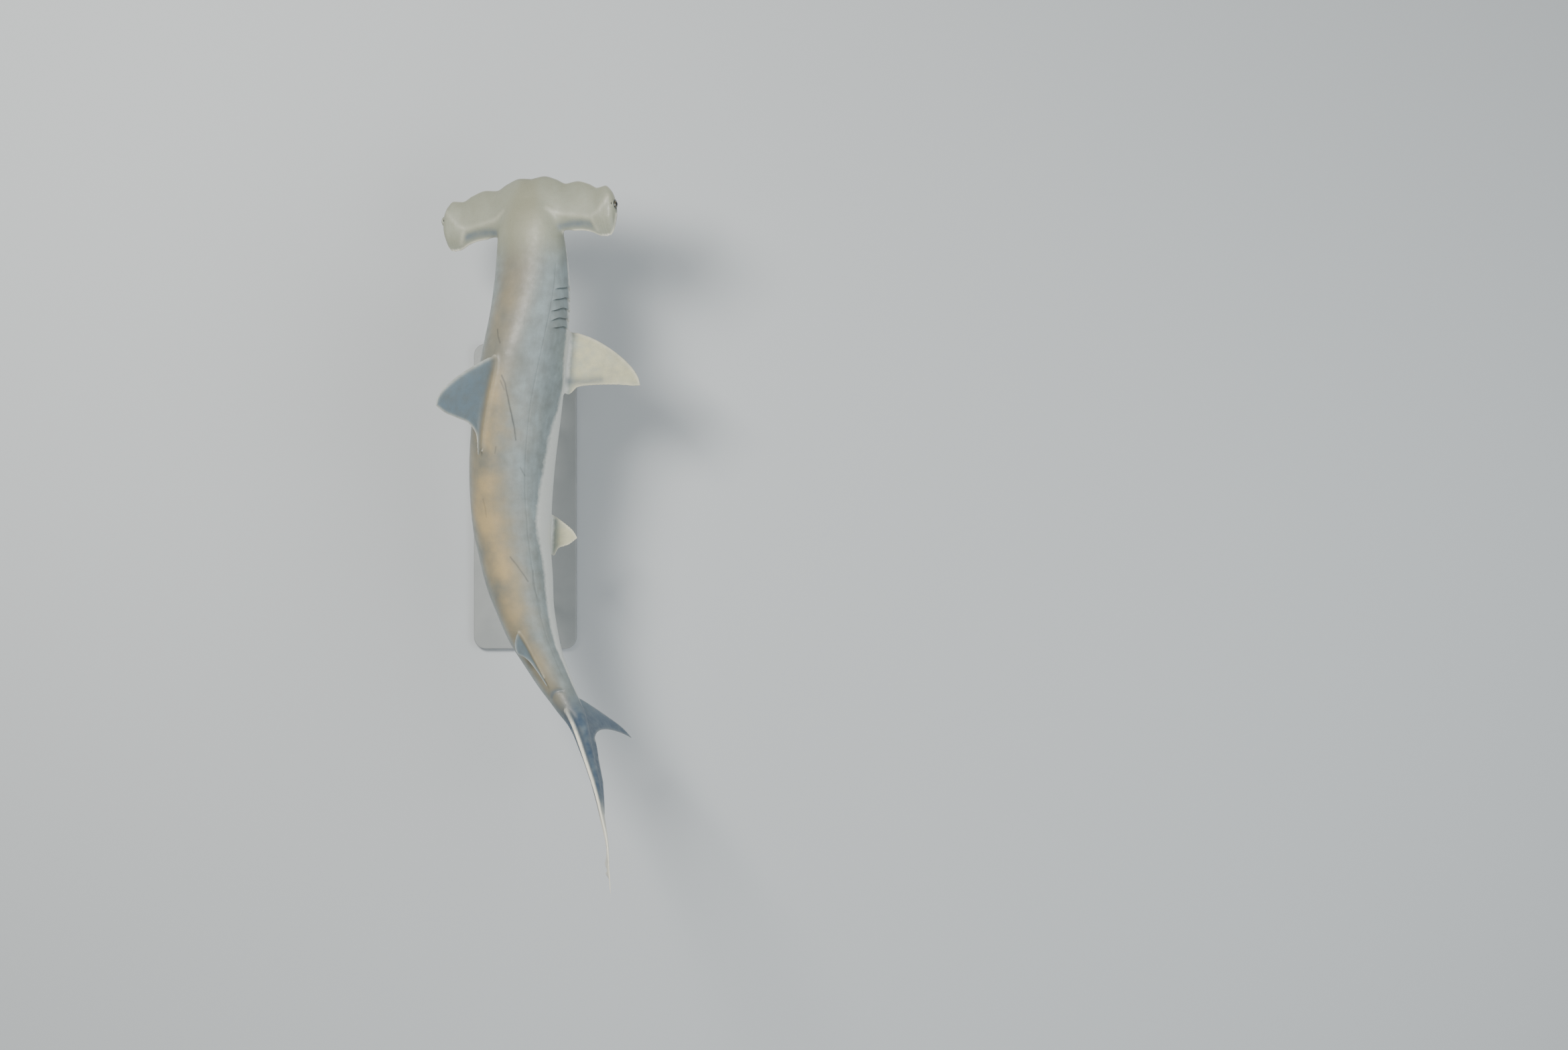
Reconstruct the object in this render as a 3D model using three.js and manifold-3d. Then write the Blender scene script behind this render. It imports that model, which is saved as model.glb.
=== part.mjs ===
// A scalloped hammerhead shark, life-size, as a still model on a plain display stand.
// Millimetres, +Z up, +Y towards the head. The origin is the middle of the base's underside.
//
// The shark is described straight first, in its own frame: s runs back from the snout,
// w to its right and h towards its back. place() then bends and twists that frame into the pose.
// Tables are in percent of the total length, each row a station and the value there.

import * as THREE from 'three';
import Module from 'manifold-3d';
import { mergeVertices } from 'three/addons/utils/BufferGeometryUtils.js';

const wasm = await Module();
wasm.setup();

// Driving sizes
const TOTAL_LENGTH = 2500;
const PERCENT = TOTAL_LENGTH / 100;
const GAP = 0.3;
const SAME_POINT = 1e-3;
const SHORTEST_EDGE = 0.03;
const BODY_SIDES = 32;
const NECK_SIDES = 48;

// Pose: the whole shark is rolled right side up, and bends in its own rolled plane.
const ROLL = 30;
const AXIS_HEIGHT = 500;
const SNOUT_X = 27;
const SNOUT_Y = 1062;
const HEADING = [
  [0, 4.0], [9, 4.0], [12, 1.6], [18, -5.6], [26, -9.4], [34, -8.2], [42, -1.4], [50, 8.8],
  [58, 16.7], [64, 27.5], [71, 34.5], [74, 39.5], [79, 34.5], [85, 27.2], [92, 16], [100, 10.9],
];
const TWIST = [
  [0, -4], [9, -4], [20, 4], [30, 8], [42, 4], [50, 1], [62, -2], [72, -5], [80, -7.5], [88, -12],
  [94, -15], [100, -14],
];
// The tail fin's end turns further about its front edge, by degrees at each station.
const CURL = [
  [85, 0], [88.5, 7.5], [91, 15.5], [93.3, 17.5], [95.1, 23.5], [96.3, 30.5], [97.2, 28], [98.2, 18.5],
  [100, 16],
];
const CURL_HEIGHT = [[86, 8.1], [90, 10.0], [95, 12.0], [98.6, 13.2], [100, 13.5]];

// Body profile
const AXIS_RISE = [[0, -1.2], [5, -0.2], [9, 0], [70, 0], [74, 0.35], [80, 3.5], [88, 8.1], [94, 11.2]];
const HALF_WIDTH = [
  [1.2, 2.4], [3, 3.9], [6, 4.6], [9, 4.85], [12, 5.1], [16, 5.3], [24, 5.3], [34, 5.2], [42, 5.0],
  [47, 4.85], [50, 4.5], [54, 4.25], [58, 3.6], [62, 3.1], [65, 2.6], [68, 2.25], [71, 1.85],
  [75, 1.35], [80, 0.85], [88, 0.42], [94, 0.2],
];
const BACK_HEIGHT = [
  [1.2, 0.6], [3, 1.6], [6, 2.6], [9, 3.1], [13, 4.0], [18, 5.2], [24, 6.4], [30, 6.8], [38, 6.5],
  [46, 5.7], [54, 4.8], [60, 3.9], [66, 2.8], [69.5, 2.2], [71, 1.8], [72.5, 1.7],
  [75, 1.25], [80, 0.9], [88, 0.6], [94, 0.35],
];
const BELLY_DEPTH = [
  [1.2, 0.8], [3, 1.5], [6, 2.1], [9, 2.6], [13, 3.4], [18, 4.3], [24, 5.2], [32, 5.9], [40, 6.0],
  [48, 5.4], [54, 4.7], [60, 3.7], [66, 2.6], [71, 2.0], [75, 1.6], [80, 1.1], [88, 0.7], [94, 0.4],
];
const BACK_FULLNESS = 0.96;
const BELLY_FULLNESS = 0.88;

// Where the body is parted
const CUTS = { neck: 9, torsoFront: 20.2, torsoRear: 40, tailStalk: 58, caudal: 70.2, coreEnd: 93 };
const RING_SPACING = 2.0;

// Head wing: half span, edges as distance behind the snout, thickness and the droop of its front.
// Its edge tables run over the distance from the middle.
const WING_HALF_SPAN = 13.05;
const WING_FRONT = [
  [0, 0.25], [1.8, 0.05], [3.6, 0.6], [5.3, 1.35], [6.9, 1.2], [8.8, 1.75], [10.2, 2.4], [11.5, 2.25],
  [12.2, 2.8], [12.7, 3.6], [12.92, 4.4], [13.05, 5.2],
];
const WING_REAR = [
  [0, 7.9], [6, 7.85], [7.6, 7.9], [9.2, 8.25], [10.5, 8.85], [11.4, 9.05], [12.1, 8.85], [12.6, 8.1],
  [12.85, 7.2], [13.05, 6.2],
];
const WING_HALF_THICKNESS = [
  [0, 1.75], [3.5, 1.25], [6, 0.98], [9, 0.88], [11, 0.98], [12.2, 0.95], [12.7, 0.74], [13.05, 0.2],
];
const WING_THICKEST = 0.58;
const WING_FRONT_DROOP = 1.3;
const WING_ROWS = 40;
const WING_COLUMNS = 8;

// Eye, lids, nostril and mouth
const EYE_RADIUS = 15;
const EYE_STATION = 122;
const EYE_OUT = 317;
const EYE_RISE = 2;
const LID_RADIUS = 4.5;
const LID_RING = 15.5;
const LID_OUT = 3;
const NOSTRIL = { from: 9.3, to: 10.3, radius: 5 };
const NOSTRIL_GROOVE = { from: 6.2, to: 9.4, radius: 2.6 };
const MOUTH = { station: 100, length: 84, halfWidth: 84, groove: 4.5, lip: 7 };

// Gill slits on each side, with the flap in front of each standing proud of the slit
const GILL_STATIONS = [14.7, 15.95, 17.2, 18.4, 19.5];
const GILL_DEPTH = 9;
const FLAP_LIFT = 3.5;
const GILL_TOP = 2.3;
const GILL_BOTTOM = -2.8;
const GILL_LEAN = 0.5;

const radians = (degrees) => (degrees * Math.PI) / 180;
const clamp01 = (x) => Math.min(1, Math.max(0, x));
const smoothStep = (x) => clamp01(x) ** 2 * (3 - 2 * clamp01(x));

// A smooth curve through a table's rows that never overshoots them
function slopesOf(table) {
  const secants = table.slice(1).map(([x, y], i) => (y - table[i][1]) / (x - table[i][0]));
  return table.map((row, i) => {
    const before = secants[Math.max(i - 1, 0)];
    const after = secants[Math.min(i, secants.length - 1)];
    return before * after <= 0 ? 0 : (2 * before * after) / (before + after);
  });
}

function along(table, at) {
  const x = Math.min(Math.max(at, table[0][0]), table[table.length - 1][0]);
  const i = Math.min(table.findLastIndex((row) => row[0] <= x), table.length - 2);
  const slopes = slopesOf(table);
  const step = table[i + 1][0] - table[i][0];
  const u = (x - table[i][0]) / step;
  return (
    (2 * u ** 3 - 3 * u ** 2 + 1) * table[i][1] + (u ** 3 - 2 * u ** 2 + u) * step * slopes[i] +
    (3 * u ** 2 - 2 * u ** 3) * table[i + 1][1] + (u ** 3 - u ** 2) * step * slopes[i + 1]
  );
}

// The bent axis, traced in short steps from the snout to the tip of the tail
const SPINE_STEP = 5;
const spine = traceSpine();

function traceSpine() {
  const points = [new THREE.Vector2(0, 0)];
  for (let s = 0; s < TOTAL_LENGTH * 1.05; s += SPINE_STEP) {
    const heading = radians(along(HEADING, (s + SPINE_STEP / 2) / PERCENT));
    const back = new THREE.Vector2(Math.sin(heading), -Math.cos(heading));
    points.push(points[points.length - 1].clone().addScaledVector(back, SPINE_STEP));
  }
  return points;
}

function spineAt(s) {
  const i = Math.min(Math.max(Math.floor(s / SPINE_STEP), 0), spine.length - 2);
  return spine[i].clone().lerp(spine[i + 1], s / SPINE_STEP - i);
}

const turned = (w, h, angle) => [
  w * Math.cos(angle) - h * Math.sin(angle),
  w * Math.sin(angle) + h * Math.cos(angle),
];

// From the straight frame to the bent and twisted one
function place(s, w, h) {
  const axis = spineAt(s);
  const heading = radians(along(HEADING, s / PERCENT));
  const pivot = along(CURL_HEIGHT, s / PERCENT) * PERCENT;
  const [curledW, fromPivot] = turned(w, h - pivot, -radians(along(CURL, s / PERCENT)));
  const [side, rise] = turned(curledW, pivot + fromPivot, radians(along(TWIST, s / PERCENT)));
  return new THREE.Vector3(axis.x + side * Math.cos(heading), axis.y + side * Math.sin(heading), rise);
}

// Points closer than the tolerance become one, and triangles that this flattens are dropped
function weld(geometry, tolerance) {
  const merged = mergeVertices(geometry, tolerance);
  const index = merged.getIndex().array;
  const kept = [];
  for (let i = 0; i < index.length; i += 3) {
    const [a, b, c] = [index[i], index[i + 1], index[i + 2]];
    if (a !== b && b !== c && c !== a) {
      kept.push(a, b, c);
    }
  }
  merged.setIndex(kept);
  return merged;
}

// Closed meshes from points and triangles, wound so that their faces point out
function closedGeometry(points, triangles) {
  const soup = new THREE.BufferGeometry();
  soup.setAttribute('position', new THREE.Float32BufferAttribute(points.flatMap((p) => [p.x, p.y, p.z]), 3));
  soup.setIndex(triangles);
  const closed = weld(soup, SAME_POINT);
  const index = Array.from(closed.getIndex().array);
  if (signedVolume(closed, index) < 0) {
    closed.setIndex(index.reverse());
  }
  return closed;
}

function signedVolume(geometry, index) {
  const position = geometry.getAttribute('position');
  const corner = (i) => new THREE.Vector3().fromBufferAttribute(position, index[i]);
  let volume = 0;
  for (let i = 0; i < index.length; i += 3) {
    volume += corner(i).dot(corner(i + 1).cross(corner(i + 2))) / 6;
  }
  return volume;
}

// A skin over rings of points, with a flat fan at each end
function loft(rings) {
  const sides = rings[0].length;
  const points = rings.flat();
  const triangles = [];
  for (let r = 0; r < rings.length - 1; r += 1) {
    for (let i = 0; i < sides; i += 1) {
      const a = r * sides + i;
      const b = r * sides + ((i + 1) % sides);
      triangles.push(a, b, a + sides, b, b + sides, a + sides);
    }
  }
  for (const last of [false, true]) {
    const ring = last ? rings.at(-1) : rings[0];
    const start = last ? (rings.length - 1) * sides : 0;
    const middle = ring.reduce((sum, p) => sum.add(p), new THREE.Vector3()).divideScalar(sides);
    const hub = points.push(middle) - 1;
    for (let i = 0; i < sides; i += 1) {
      const a = start + i;
      const b = start + ((i + 1) % sides);
      triangles.push(...(last ? [a, b, hub] : [b, a, hub]));
    }
  }
  return closedGeometry(points, triangles);
}

// A plate with two faces split into triangles alike, point(u, v, side) giving each face
function plate(rows, columns, point) {
  const width = columns + 1;
  const faceSize = (rows + 1) * width;
  const points = [];
  for (const side of [1, -1]) {
    for (let i = 0; i <= rows; i += 1) {
      for (let j = 0; j <= columns; j += 1) {
        points.push(point(i / rows, j / columns, side));
      }
    }
  }
  const triangles = [];
  for (let i = 0; i < rows; i += 1) {
    for (let j = 0; j < columns; j += 1) {
      const a = i * width + j;
      triangles.push(a, a + 1, a + width + 1, a, a + width + 1, a + width);
      const b = a + faceSize;
      triangles.push(b, b + width + 1, b + 1, b, b + width, b + width + 1);
    }
  }
  const rim = plateRim(rows, columns);
  rim.forEach((a, i) => {
    const b = rim[(i + 1) % rim.length];
    triangles.push(b, a, a + faceSize, b, a + faceSize, b + faceSize);
  });
  return closedGeometry(points, triangles);
}

function plateRim(rows, columns) {
  const width = columns + 1;
  const rim = [];
  for (let j = 0; j < columns; j += 1) {
    rim.push(j);
  }
  for (let i = 0; i < rows; i += 1) {
    rim.push(i * width + columns);
  }
  for (let j = columns; j > 0; j -= 1) {
    rim.push(rows * width + j);
  }
  for (let i = rows; i > 0; i -= 1) {
    rim.push(i * width);
  }
  return rim;
}

// Joining and cutting
function solid(geometry) {
  const bare = geometry.clone();
  bare.deleteAttribute('normal');
  bare.deleteAttribute('uv');
  const merged = weld(bare, SAME_POINT);
  const vertProperties = Float32Array.from(merged.getAttribute('position').array);
  const triVerts = Uint32Array.from(merged.getIndex().array);
  return new wasm.Manifold(new wasm.Mesh({ numProp: 3, vertProperties, triVerts }));
}

function geometryOf(body) {
  const mesh = body.getMesh();
  const geometry = new THREE.BufferGeometry();
  geometry.setAttribute('position', new THREE.BufferAttribute(Float32Array.from(mesh.vertProperties), 3));
  geometry.setIndex(new THREE.BufferAttribute(Uint32Array.from(mesh.triVerts), 1));
  return weld(geometry, SHORTEST_EDGE);
}

function volumeOf(body) {
  const geometry = geometryOf(body);
  return Math.abs(signedVolume(geometry, geometry.getIndex().array));
}

function largest(body) {
  return body.decompose().reduce((best, piece) => (volumeOf(piece) > volumeOf(best) ? piece : best));
}

// A round tube through points, closed by rounded-off small ends
function tube(points, radius, sides = 6) {
  const rings = points.map((point, k) => {
    const ahead = points[Math.min(k + 1, points.length - 1)];
    const behind = points[Math.max(k - 1, 0)];
    const direction = ahead.clone().sub(behind).normalize();
    const across = new THREE.Vector3(0, 0, 1).cross(direction).normalize();
    const over = direction.clone().cross(across);
    const end = k === 0 || k === points.length - 1;
    const size = end ? radius * 0.35 : radius;
    return Array.from({ length: sides }, (unused, i) => {
      const angle = (i / sides) * 2 * Math.PI;
      return point.clone()
        .addScaledVector(across, Math.cos(angle) * size)
        .addScaledVector(over, Math.sin(angle) * size);
    });
  });
  return loft(rings);
}

// Body
const power = (value, exponent) => Math.sign(value) * Math.abs(value) ** exponent;

function gillRelief(s, h) {
  const station = s / PERCENT - GILL_LEAN * ((h / PERCENT) / GILL_TOP) ** 2;
  const height = h / PERCENT;
  const ends = smoothStep((GILL_TOP - height) / 1.5) * smoothStep((height - GILL_BOTTOM) / 1.5);
  const window = ends * smoothStep((CUTS.torsoFront - s / PERCENT) / 0.4);
  const pitch = GILL_STATIONS[1] - GILL_STATIONS[0];
  const first = GILL_STATIONS[0] - pitch;
  const last = GILL_STATIONS.at(-1) + pitch;
  if (station < first || station > last) {
    return 0;
  }
  const behind = GILL_STATIONS.findLast((gill) => gill <= station);
  const hollow = behind === undefined ? 0 : (1 - clamp01((station - behind) / pitch)) ** 3;
  const ahead = GILL_STATIONS.find((gill) => gill > station);
  const lift = ahead === undefined ? 0 : (1 - clamp01((ahead - station) / pitch)) ** 2;
  return window * (FLAP_LIFT * lift - GILL_DEPTH * hollow);
}

function bodyRing(s, grow = 0, sides = BODY_SIDES) {
  const station = s / PERCENT;
  const centre = along(AXIS_RISE, station) * PERCENT;
  const halfWidth = along(HALF_WIDTH, station) * PERCENT + grow;
  const back = along(BACK_HEIGHT, station) * PERCENT + grow;
  const belly = along(BELLY_DEPTH, station) * PERCENT + grow;
  return Array.from({ length: sides }, (unused, i) => {
    const angle = (i / sides) * 2 * Math.PI;
    const upper = Math.sin(angle) >= 0;
    const fullness = upper ? BACK_FULLNESS : BELLY_FULLNESS;
    const w = halfWidth * power(Math.cos(angle), fullness);
    const h = (upper ? back : belly) * power(Math.sin(angle), fullness);
    return [s, w, centre + h];
  });
}

function bodyStations(from, to) {
  const steps = Math.max(2, Math.round((to - from) / RING_SPACING));
  return Array.from({ length: steps + 1 }, (unused, i) => (from + ((to - from) * i) / steps) * PERCENT);
}

function bodyLoft(stations, grow = 0) {
  return loft(stations.map((s) => bodyRing(s, grow).map(([x, w, h]) => place(x, w, h))));
}

// A stretch of the body, held half a gap short of each cut
function bodyLength(from, to) {
  const stations = bodyStations(from, to);
  stations[0] += GAP / 2;
  stations[stations.length - 1] -= GAP / 2;
  return bodyLoft(stations);
}

// The whole body grown by the gap, with its rings where the lengths have theirs
function grownBodySolid() {
  const ends = Object.values(CUTS);
  const stations = ends.slice(1).flatMap((to, i) => bodyStations(ends[i], to).slice(i === 0 ? 0 : 1));
  return solid(bodyLoft(stations, GAP));
}

const grownBody = grownBodySolid();

// Neck with its gill flaps
function gillStations() {
  const edge = 1.5 / PERCENT;
  const pitch = GILL_STATIONS[1] - GILL_STATIONS[0];
  const ahead = bodyStations(CUTS.neck, GILL_STATIONS[0] - pitch).map((s) => s / PERCENT);
  const shares = [-pitch * 0.5, -edge, edge, pitch * 0.2];
  const slits = GILL_STATIONS.flatMap((gill) => shares.map((share) => gill + share));
  return [...ahead, ...slits, CUTS.torsoFront].map((station) => station * PERCENT);
}

function neckGeometry() {
  const stations = gillStations();
  stations[0] += GAP / 2;
  stations[stations.length - 1] -= GAP / 2;
  const rings = stations.map((s) => bodyRing(s, 0, NECK_SIDES).map(([x, w, h]) => {
    const lean = GILL_LEAN * PERCENT * (h / (GILL_TOP * PERCENT)) ** 2;
    const station = s / PERCENT;
    const inside = smoothStep((station - CUTS.neck) / 5) * smoothStep((CUTS.torsoFront - station) / 0.6);
    const shift = Math.min(lean, GILL_LEAN * PERCENT * 2) * inside;
    const relief = gillRelief(x + lean, h);
    return place(x + shift, w + Math.sign(w) * relief, h);
  }));
  return loft(rings);
}

// Head wing. Its section is a half ellipse in front of the thickest line and a wedge behind it.
function wingSection(c) {
  if (c < WING_THICKEST) {
    return Math.sqrt(1 - (1 - c / WING_THICKEST) ** 2);
  }
  return Math.cos((Math.PI / 2) * (c - WING_THICKEST) / (1 - WING_THICKEST));
}

function wingPoint(across, chord, side) {
  const out = Math.abs(across);
  const front = along(WING_FRONT, out);
  const rear = along(WING_REAR, out);
  const c = (1 - Math.cos(Math.PI * chord)) / 2;
  const thickness = along(WING_HALF_THICKNESS, out) * wingSection(c) + 0.08 * c;
  const droop = WING_FRONT_DROOP * (1 - c) ** 2 * (1 - (out / WING_HALF_SPAN) ** 2);
  return [front + (rear - front) * c, across, side * thickness - droop].map((value) => value * PERCENT);
}

function wingGeometry() {
  return plate(WING_ROWS, WING_COLUMNS, (u, v, side) => {
    const across = WING_HALF_SPAN * Math.sin((u - 0.5) * Math.PI * 0.94) / Math.sin(Math.PI * 0.47);
    return place(...wingPoint(across, v, side));
  });
}

// The underside of the head at a station and side, the lower of wing and skull
function underside(s, w) {
  const station = s / PERCENT;
  const halfWidth = along(HALF_WIDTH, station) * PERCENT;
  const belly = along(BELLY_DEPTH, station) * PERCENT;
  const ratio = clamp01(Math.abs(w) / halfWidth);
  const depth = belly * (1 - ratio ** (2 / BELLY_FULLNESS)) ** (BELLY_FULLNESS / 2);
  const skull = along(AXIS_RISE, station) * PERCENT - depth;
  const out = Math.abs(w) / PERCENT;
  const chord = (station - along(WING_FRONT, out)) / (along(WING_REAR, out) - along(WING_FRONT, out));
  const wing = wingPoint(out, Math.acos(1 - 2 * clamp01(chord)) / Math.PI, -1)[2];
  return Math.min(skull, wing);
}

function mouthCurve(offset, sink) {
  const steps = 18;
  return Array.from({ length: steps + 1 }, (unused, i) => {
    const angle = (i / steps - 0.5) * Math.PI * 0.98;
    const w = Math.sin(angle) * MOUTH.halfWidth;
    const s = MOUTH.station + MOUTH.length * (1 - Math.cos(angle)) + offset;
    return place(s, w, underside(s, w) + sink);
  });
}

function frontEdgeCurve({ from, to }, side, drop) {
  const steps = 8;
  return Array.from({ length: steps + 1 }, (unused, i) => {
    const out = from + ((to - from) * i) / steps;
    const [s, w, h] = wingPoint(out * side, 0.06, -1);
    return place(s, w, h - drop);
  });
}

const eyePlace = (side) => place(EYE_STATION, EYE_OUT * side, EYE_RISE);

function eyeBall(side, radius) {
  const ball = new THREE.SphereGeometry(radius, 16, 10);
  const centre = eyePlace(side);
  return ball.translate(centre.x, centre.y, centre.z);
}

function eyeLids(side) {
  const ring = new THREE.TorusGeometry(LID_RING, LID_RADIUS, 6, 20);
  ring.applyMatrix4(eyeFacing(side));
  return ring;
}

// Turns Z to point out of the wing's end, and moves there
function eyeFacing(side) {
  const centre = eyePlace(side);
  const outward = place(EYE_STATION, (EYE_OUT + 10) * side, EYE_RISE).sub(centre).normalize();
  const turn = new THREE.Quaternion().setFromUnitVectors(new THREE.Vector3(0, 0, 1), outward);
  const size = new THREE.Vector3(1, 1, 1);
  return new THREE.Matrix4().compose(centre.addScaledVector(outward, LID_OUT), turn, size);
}

function headGeometry() {
  const skullStations = [1.4, 2.2, 3.2, 4.4, 5.8, 7.2, 8.2, CUTS.neck].map((station) => station * PERCENT);
  skullStations[skullStations.length - 1] -= GAP / 2;
  let head = solid(bodyLoft(skullStations)).add(solid(wingGeometry()));
  head = head.add(solid(tube(mouthCurve(9, 3.5), MOUTH.lip)));
  head = head.subtract(solid(tube(mouthCurve(0, 0), MOUTH.groove)));
  for (const side of [1, -1]) {
    head = head.subtract(solid(tube(frontEdgeCurve(NOSTRIL, side, 2), NOSTRIL.radius)));
    head = head.subtract(solid(tube(frontEdgeCurve(NOSTRIL_GROOVE, side, 0), NOSTRIL_GROOVE.radius)));
    head = head.add(solid(eyeLids(side)));
    head = head.subtract(solid(eyeBall(side, EYE_RADIUS + GAP)));
  }
  return geometryOf(largest(head));
}

// Fins: a blade between a front and a rear edge, both from root to tip, in percent.
// Each edge point is its station and its distance out from the root line. A notch in the rear edge
// is given by its place and width as shares of the way to the tip, and its depth as one of the chord.
const NO_NOTCH = { at: 0.5, width: 1, depth: 0 };
const foil = (c) => 3.165 * Math.sqrt(c) * (1 - c) ** 1.6;

function edgeCurve(points) {
  return new THREE.SplineCurve(points.map(([x, y]) => new THREE.Vector2(x, y)));
}

function finBlade(shape) {
  const { rootThickness, tipThickness, rows = 12, columns = 8, notch = NO_NOTCH, toBody } = shape;
  const frontEdge = edgeCurve(shape.front);
  const rearEdge = edgeCurve(shape.rear);
  const edgeThickness = 0.9;
  return plate(rows, columns, (u, v, side) => {
    const c = (1 - Math.cos(Math.PI * v)) / 2;
    const dent = notch.depth * Math.exp(-(((u - notch.at) / notch.width) ** 2));
    const point = frontEdge.getPoint(u).lerp(rearEdge.getPoint(u), c * (1 - dent));
    const full = (rootThickness + (tipThickness - rootThickness) * smoothStep(u)) * (1 - u ** 12);
    const least = c === 0 && u < 1 ? 0 : edgeThickness / 2;
    const half = Math.max((full * foil(c)) / 2, least);
    return place(...toBody(point.x * PERCENT, point.y * PERCENT, side * half));
  });
}

function onBody(blade) {
  return geometryOf(largest(solid(blade).subtract(grownBody)));
}

const upright = (s, out, across) => [s, across, out];
const hanging = (s, out, across) => [s, across, -out];

const FIRST_DORSAL = {
  front: [[23.4, 5.0], [24.3, 7.2], [25.2, 9.3], [26.9, 12.7], [28.7, 15.3], [30.2, 16.6], [31.3, 16.7]],
  rear: [[34.4, 5.0], [37.6, 7.3], [34.8, 8.1], [33.4, 9.8], [32.8, 12.0], [32.2, 14.6], [31.3, 16.7]],
  rootThickness: 34,
  tipThickness: 7,
  toBody: upright,
};

const SECOND_DORSAL = {
  front: [[60.6, 2.6], [61.6, 4.2], [62.9, 5.7], [64.0, 6.3], [64.7, 6.2]],
  rear: [[65.0, 2.2], [69.6, 2.85], [66.6, 3.6], [65.2, 4.8], [64.7, 6.2]],
  rootThickness: 13,
  tipThickness: 3,
  toBody: upright,
};

const ANAL = {
  front: [[58.8, 2.6], [60.0, 4.3], [61.4, 5.7], [62.6, 6.4], [63.3, 6.3]],
  rear: [[64.6, 1.6], [67.4, 2.7], [64.9, 3.2], [63.3, 4.4], [63.3, 6.3]],
  rootThickness: 13,
  tipThickness: 3,
  toBody: hanging,
};

// Paired fins leave the body low on the flank and droop outwards.
const PECTORAL_ROOT = { w: 3.6, h: -3.0, droop: 34 };
const PELVIC_ROOT = { w: 1.9, h: -4.3, droop: 22 };

const PECTORAL = {
  front: [[19.9, -1.0], [20.1, 1.2], [20.7, 4.0], [21.9, 6.9], [23.3, 9.2], [24.6, 10.5], [25.7, 11.0]],
  rear: [[25.8, -1.0], [28.5, 1.4], [27.1, 2.8], [26.4, 5.6], [26.0, 8.2], [25.9, 9.9], [25.7, 11.0]],
  rootThickness: 36,
  tipThickness: 5,
};

const PELVIC = {
  front: [[44.0, -0.8], [44.9, 0.9], [46.3, 2.6], [47.9, 4.1], [49.3, 4.7]],
  rear: [[48.9, -0.8], [51.3, 1.0], [50.4, 2.0], [50.1, 3.4], [49.3, 4.7]],
  rootThickness: 18,
  tipThickness: 4,
};

function pairedFin(shape, root, side) {
  const droop = radians(root.droop);
  const toBody = (s, out, across) => [
    s,
    side * (root.w * PERCENT + out * Math.cos(droop) + across * Math.sin(droop)),
    root.h * PERCENT - out * Math.sin(droop) + across * Math.cos(droop),
  ];
  return onBody(finBlade({ ...shape, toBody }));
}

// Tail fin: one plate over both lobes round the rising end of the body, parted along a thin cut
const CAUDAL_UPPER = {
  front: [
    [71.2, 0.8], [73, 1.8], [76, 3.0], [80, 5.1], [85, 7.6], [90, 10.0], [95, 12.0], [98.6, 13.2],
    [100, 13.5],
  ],
  rear: [
    [71.8, -1.3], [75, -2.0], [78.0, -1.4], [82.0, 1.5], [87, 4.9], [91.5, 7.5], [95.0, 9.2], [97.4, 10.3],
    [100, 13.5],
  ],
  rootThickness: 22,
  tipThickness: 4,
  rows: 28,
  columns: 7,
  notch: { at: 0.82, width: 0.025, depth: 0.5 },
  toBody: upright,
};

const CAUDAL_LOWER = {
  front: [[70.4, 0.4], [70.7, -2.5], [71.9, -5.6], [73.8, -9.0], [75.7, -11.9], [77.5, -13.3]],
  rear: [[79.6, 0.6], [77.6, -2.0], [76.6, -4.4], [76.3, -7.3], [76.7, -10.7], [77.5, -13.3]],
  rootThickness: 20,
  tipThickness: 4,
  rows: 12,
  toBody: upright,
};

const CAUDAL_CUT = [[69, -1.5], [72, -1.4], [76, -1.2], [83, -1.6]];

// A thin curved wall along the cut, to take its gap out of the tail fin
function caudalCut(thickness) {
  return plate(14, 1, (u, v, side) => {
    const station = CAUDAL_CUT[0][0] + (CAUDAL_CUT.at(-1)[0] - CAUDAL_CUT[0][0]) * u;
    const height = along(CAUDAL_CUT, station) * PERCENT + (side * thickness) / 2;
    return place(station * PERCENT, (v - 0.5) * 160, height);
  });
}

function caudalPieces() {
  const core = solid(bodyLength(CUTS.caudal, CUTS.coreEnd));
  const whole = core.add(solid(finBlade(CAUDAL_UPPER))).add(solid(finBlade(CAUDAL_LOWER)));
  const pieces = whole.subtract(solid(caudalCut(GAP))).decompose();
  const [upper, lower] = pieces.sort((a, b) => volumeOf(b) - volumeOf(a));
  return { upper: geometryOf(upper), lower: geometryOf(lower) };
}

// Stand
const BASE = { length: 1040, width: 350, height: 22, corner: 40, bevel: 4 };
const ROD = { radius: 14, collar: 30, collarHeight: 14, sides: 24 };
const ROD_STATIONS = { front: 31, rear: 55 };

function baseGeometry() {
  const { length, width, height, corner, bevel } = BASE;
  const halfX = width / 2 - bevel;
  const halfY = length / 2 - bevel;
  const outline = new THREE.Shape();
  outline.absarc(halfX - corner, halfY - corner, corner, 0, Math.PI / 2);
  outline.absarc(corner - halfX, halfY - corner, corner, Math.PI / 2, Math.PI);
  outline.absarc(corner - halfX, corner - halfY, corner, Math.PI, 1.5 * Math.PI);
  outline.absarc(halfX - corner, corner - halfY, corner, 1.5 * Math.PI, 2 * Math.PI);
  const depth = height - 2 * bevel;
  const settings = { depth, bevelThickness: bevel, bevelSize: bevel, bevelSegments: 2, curveSegments: 6 };
  return new THREE.ExtrudeGeometry(outline, settings).translate(0, 0, bevel);
}

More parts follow.
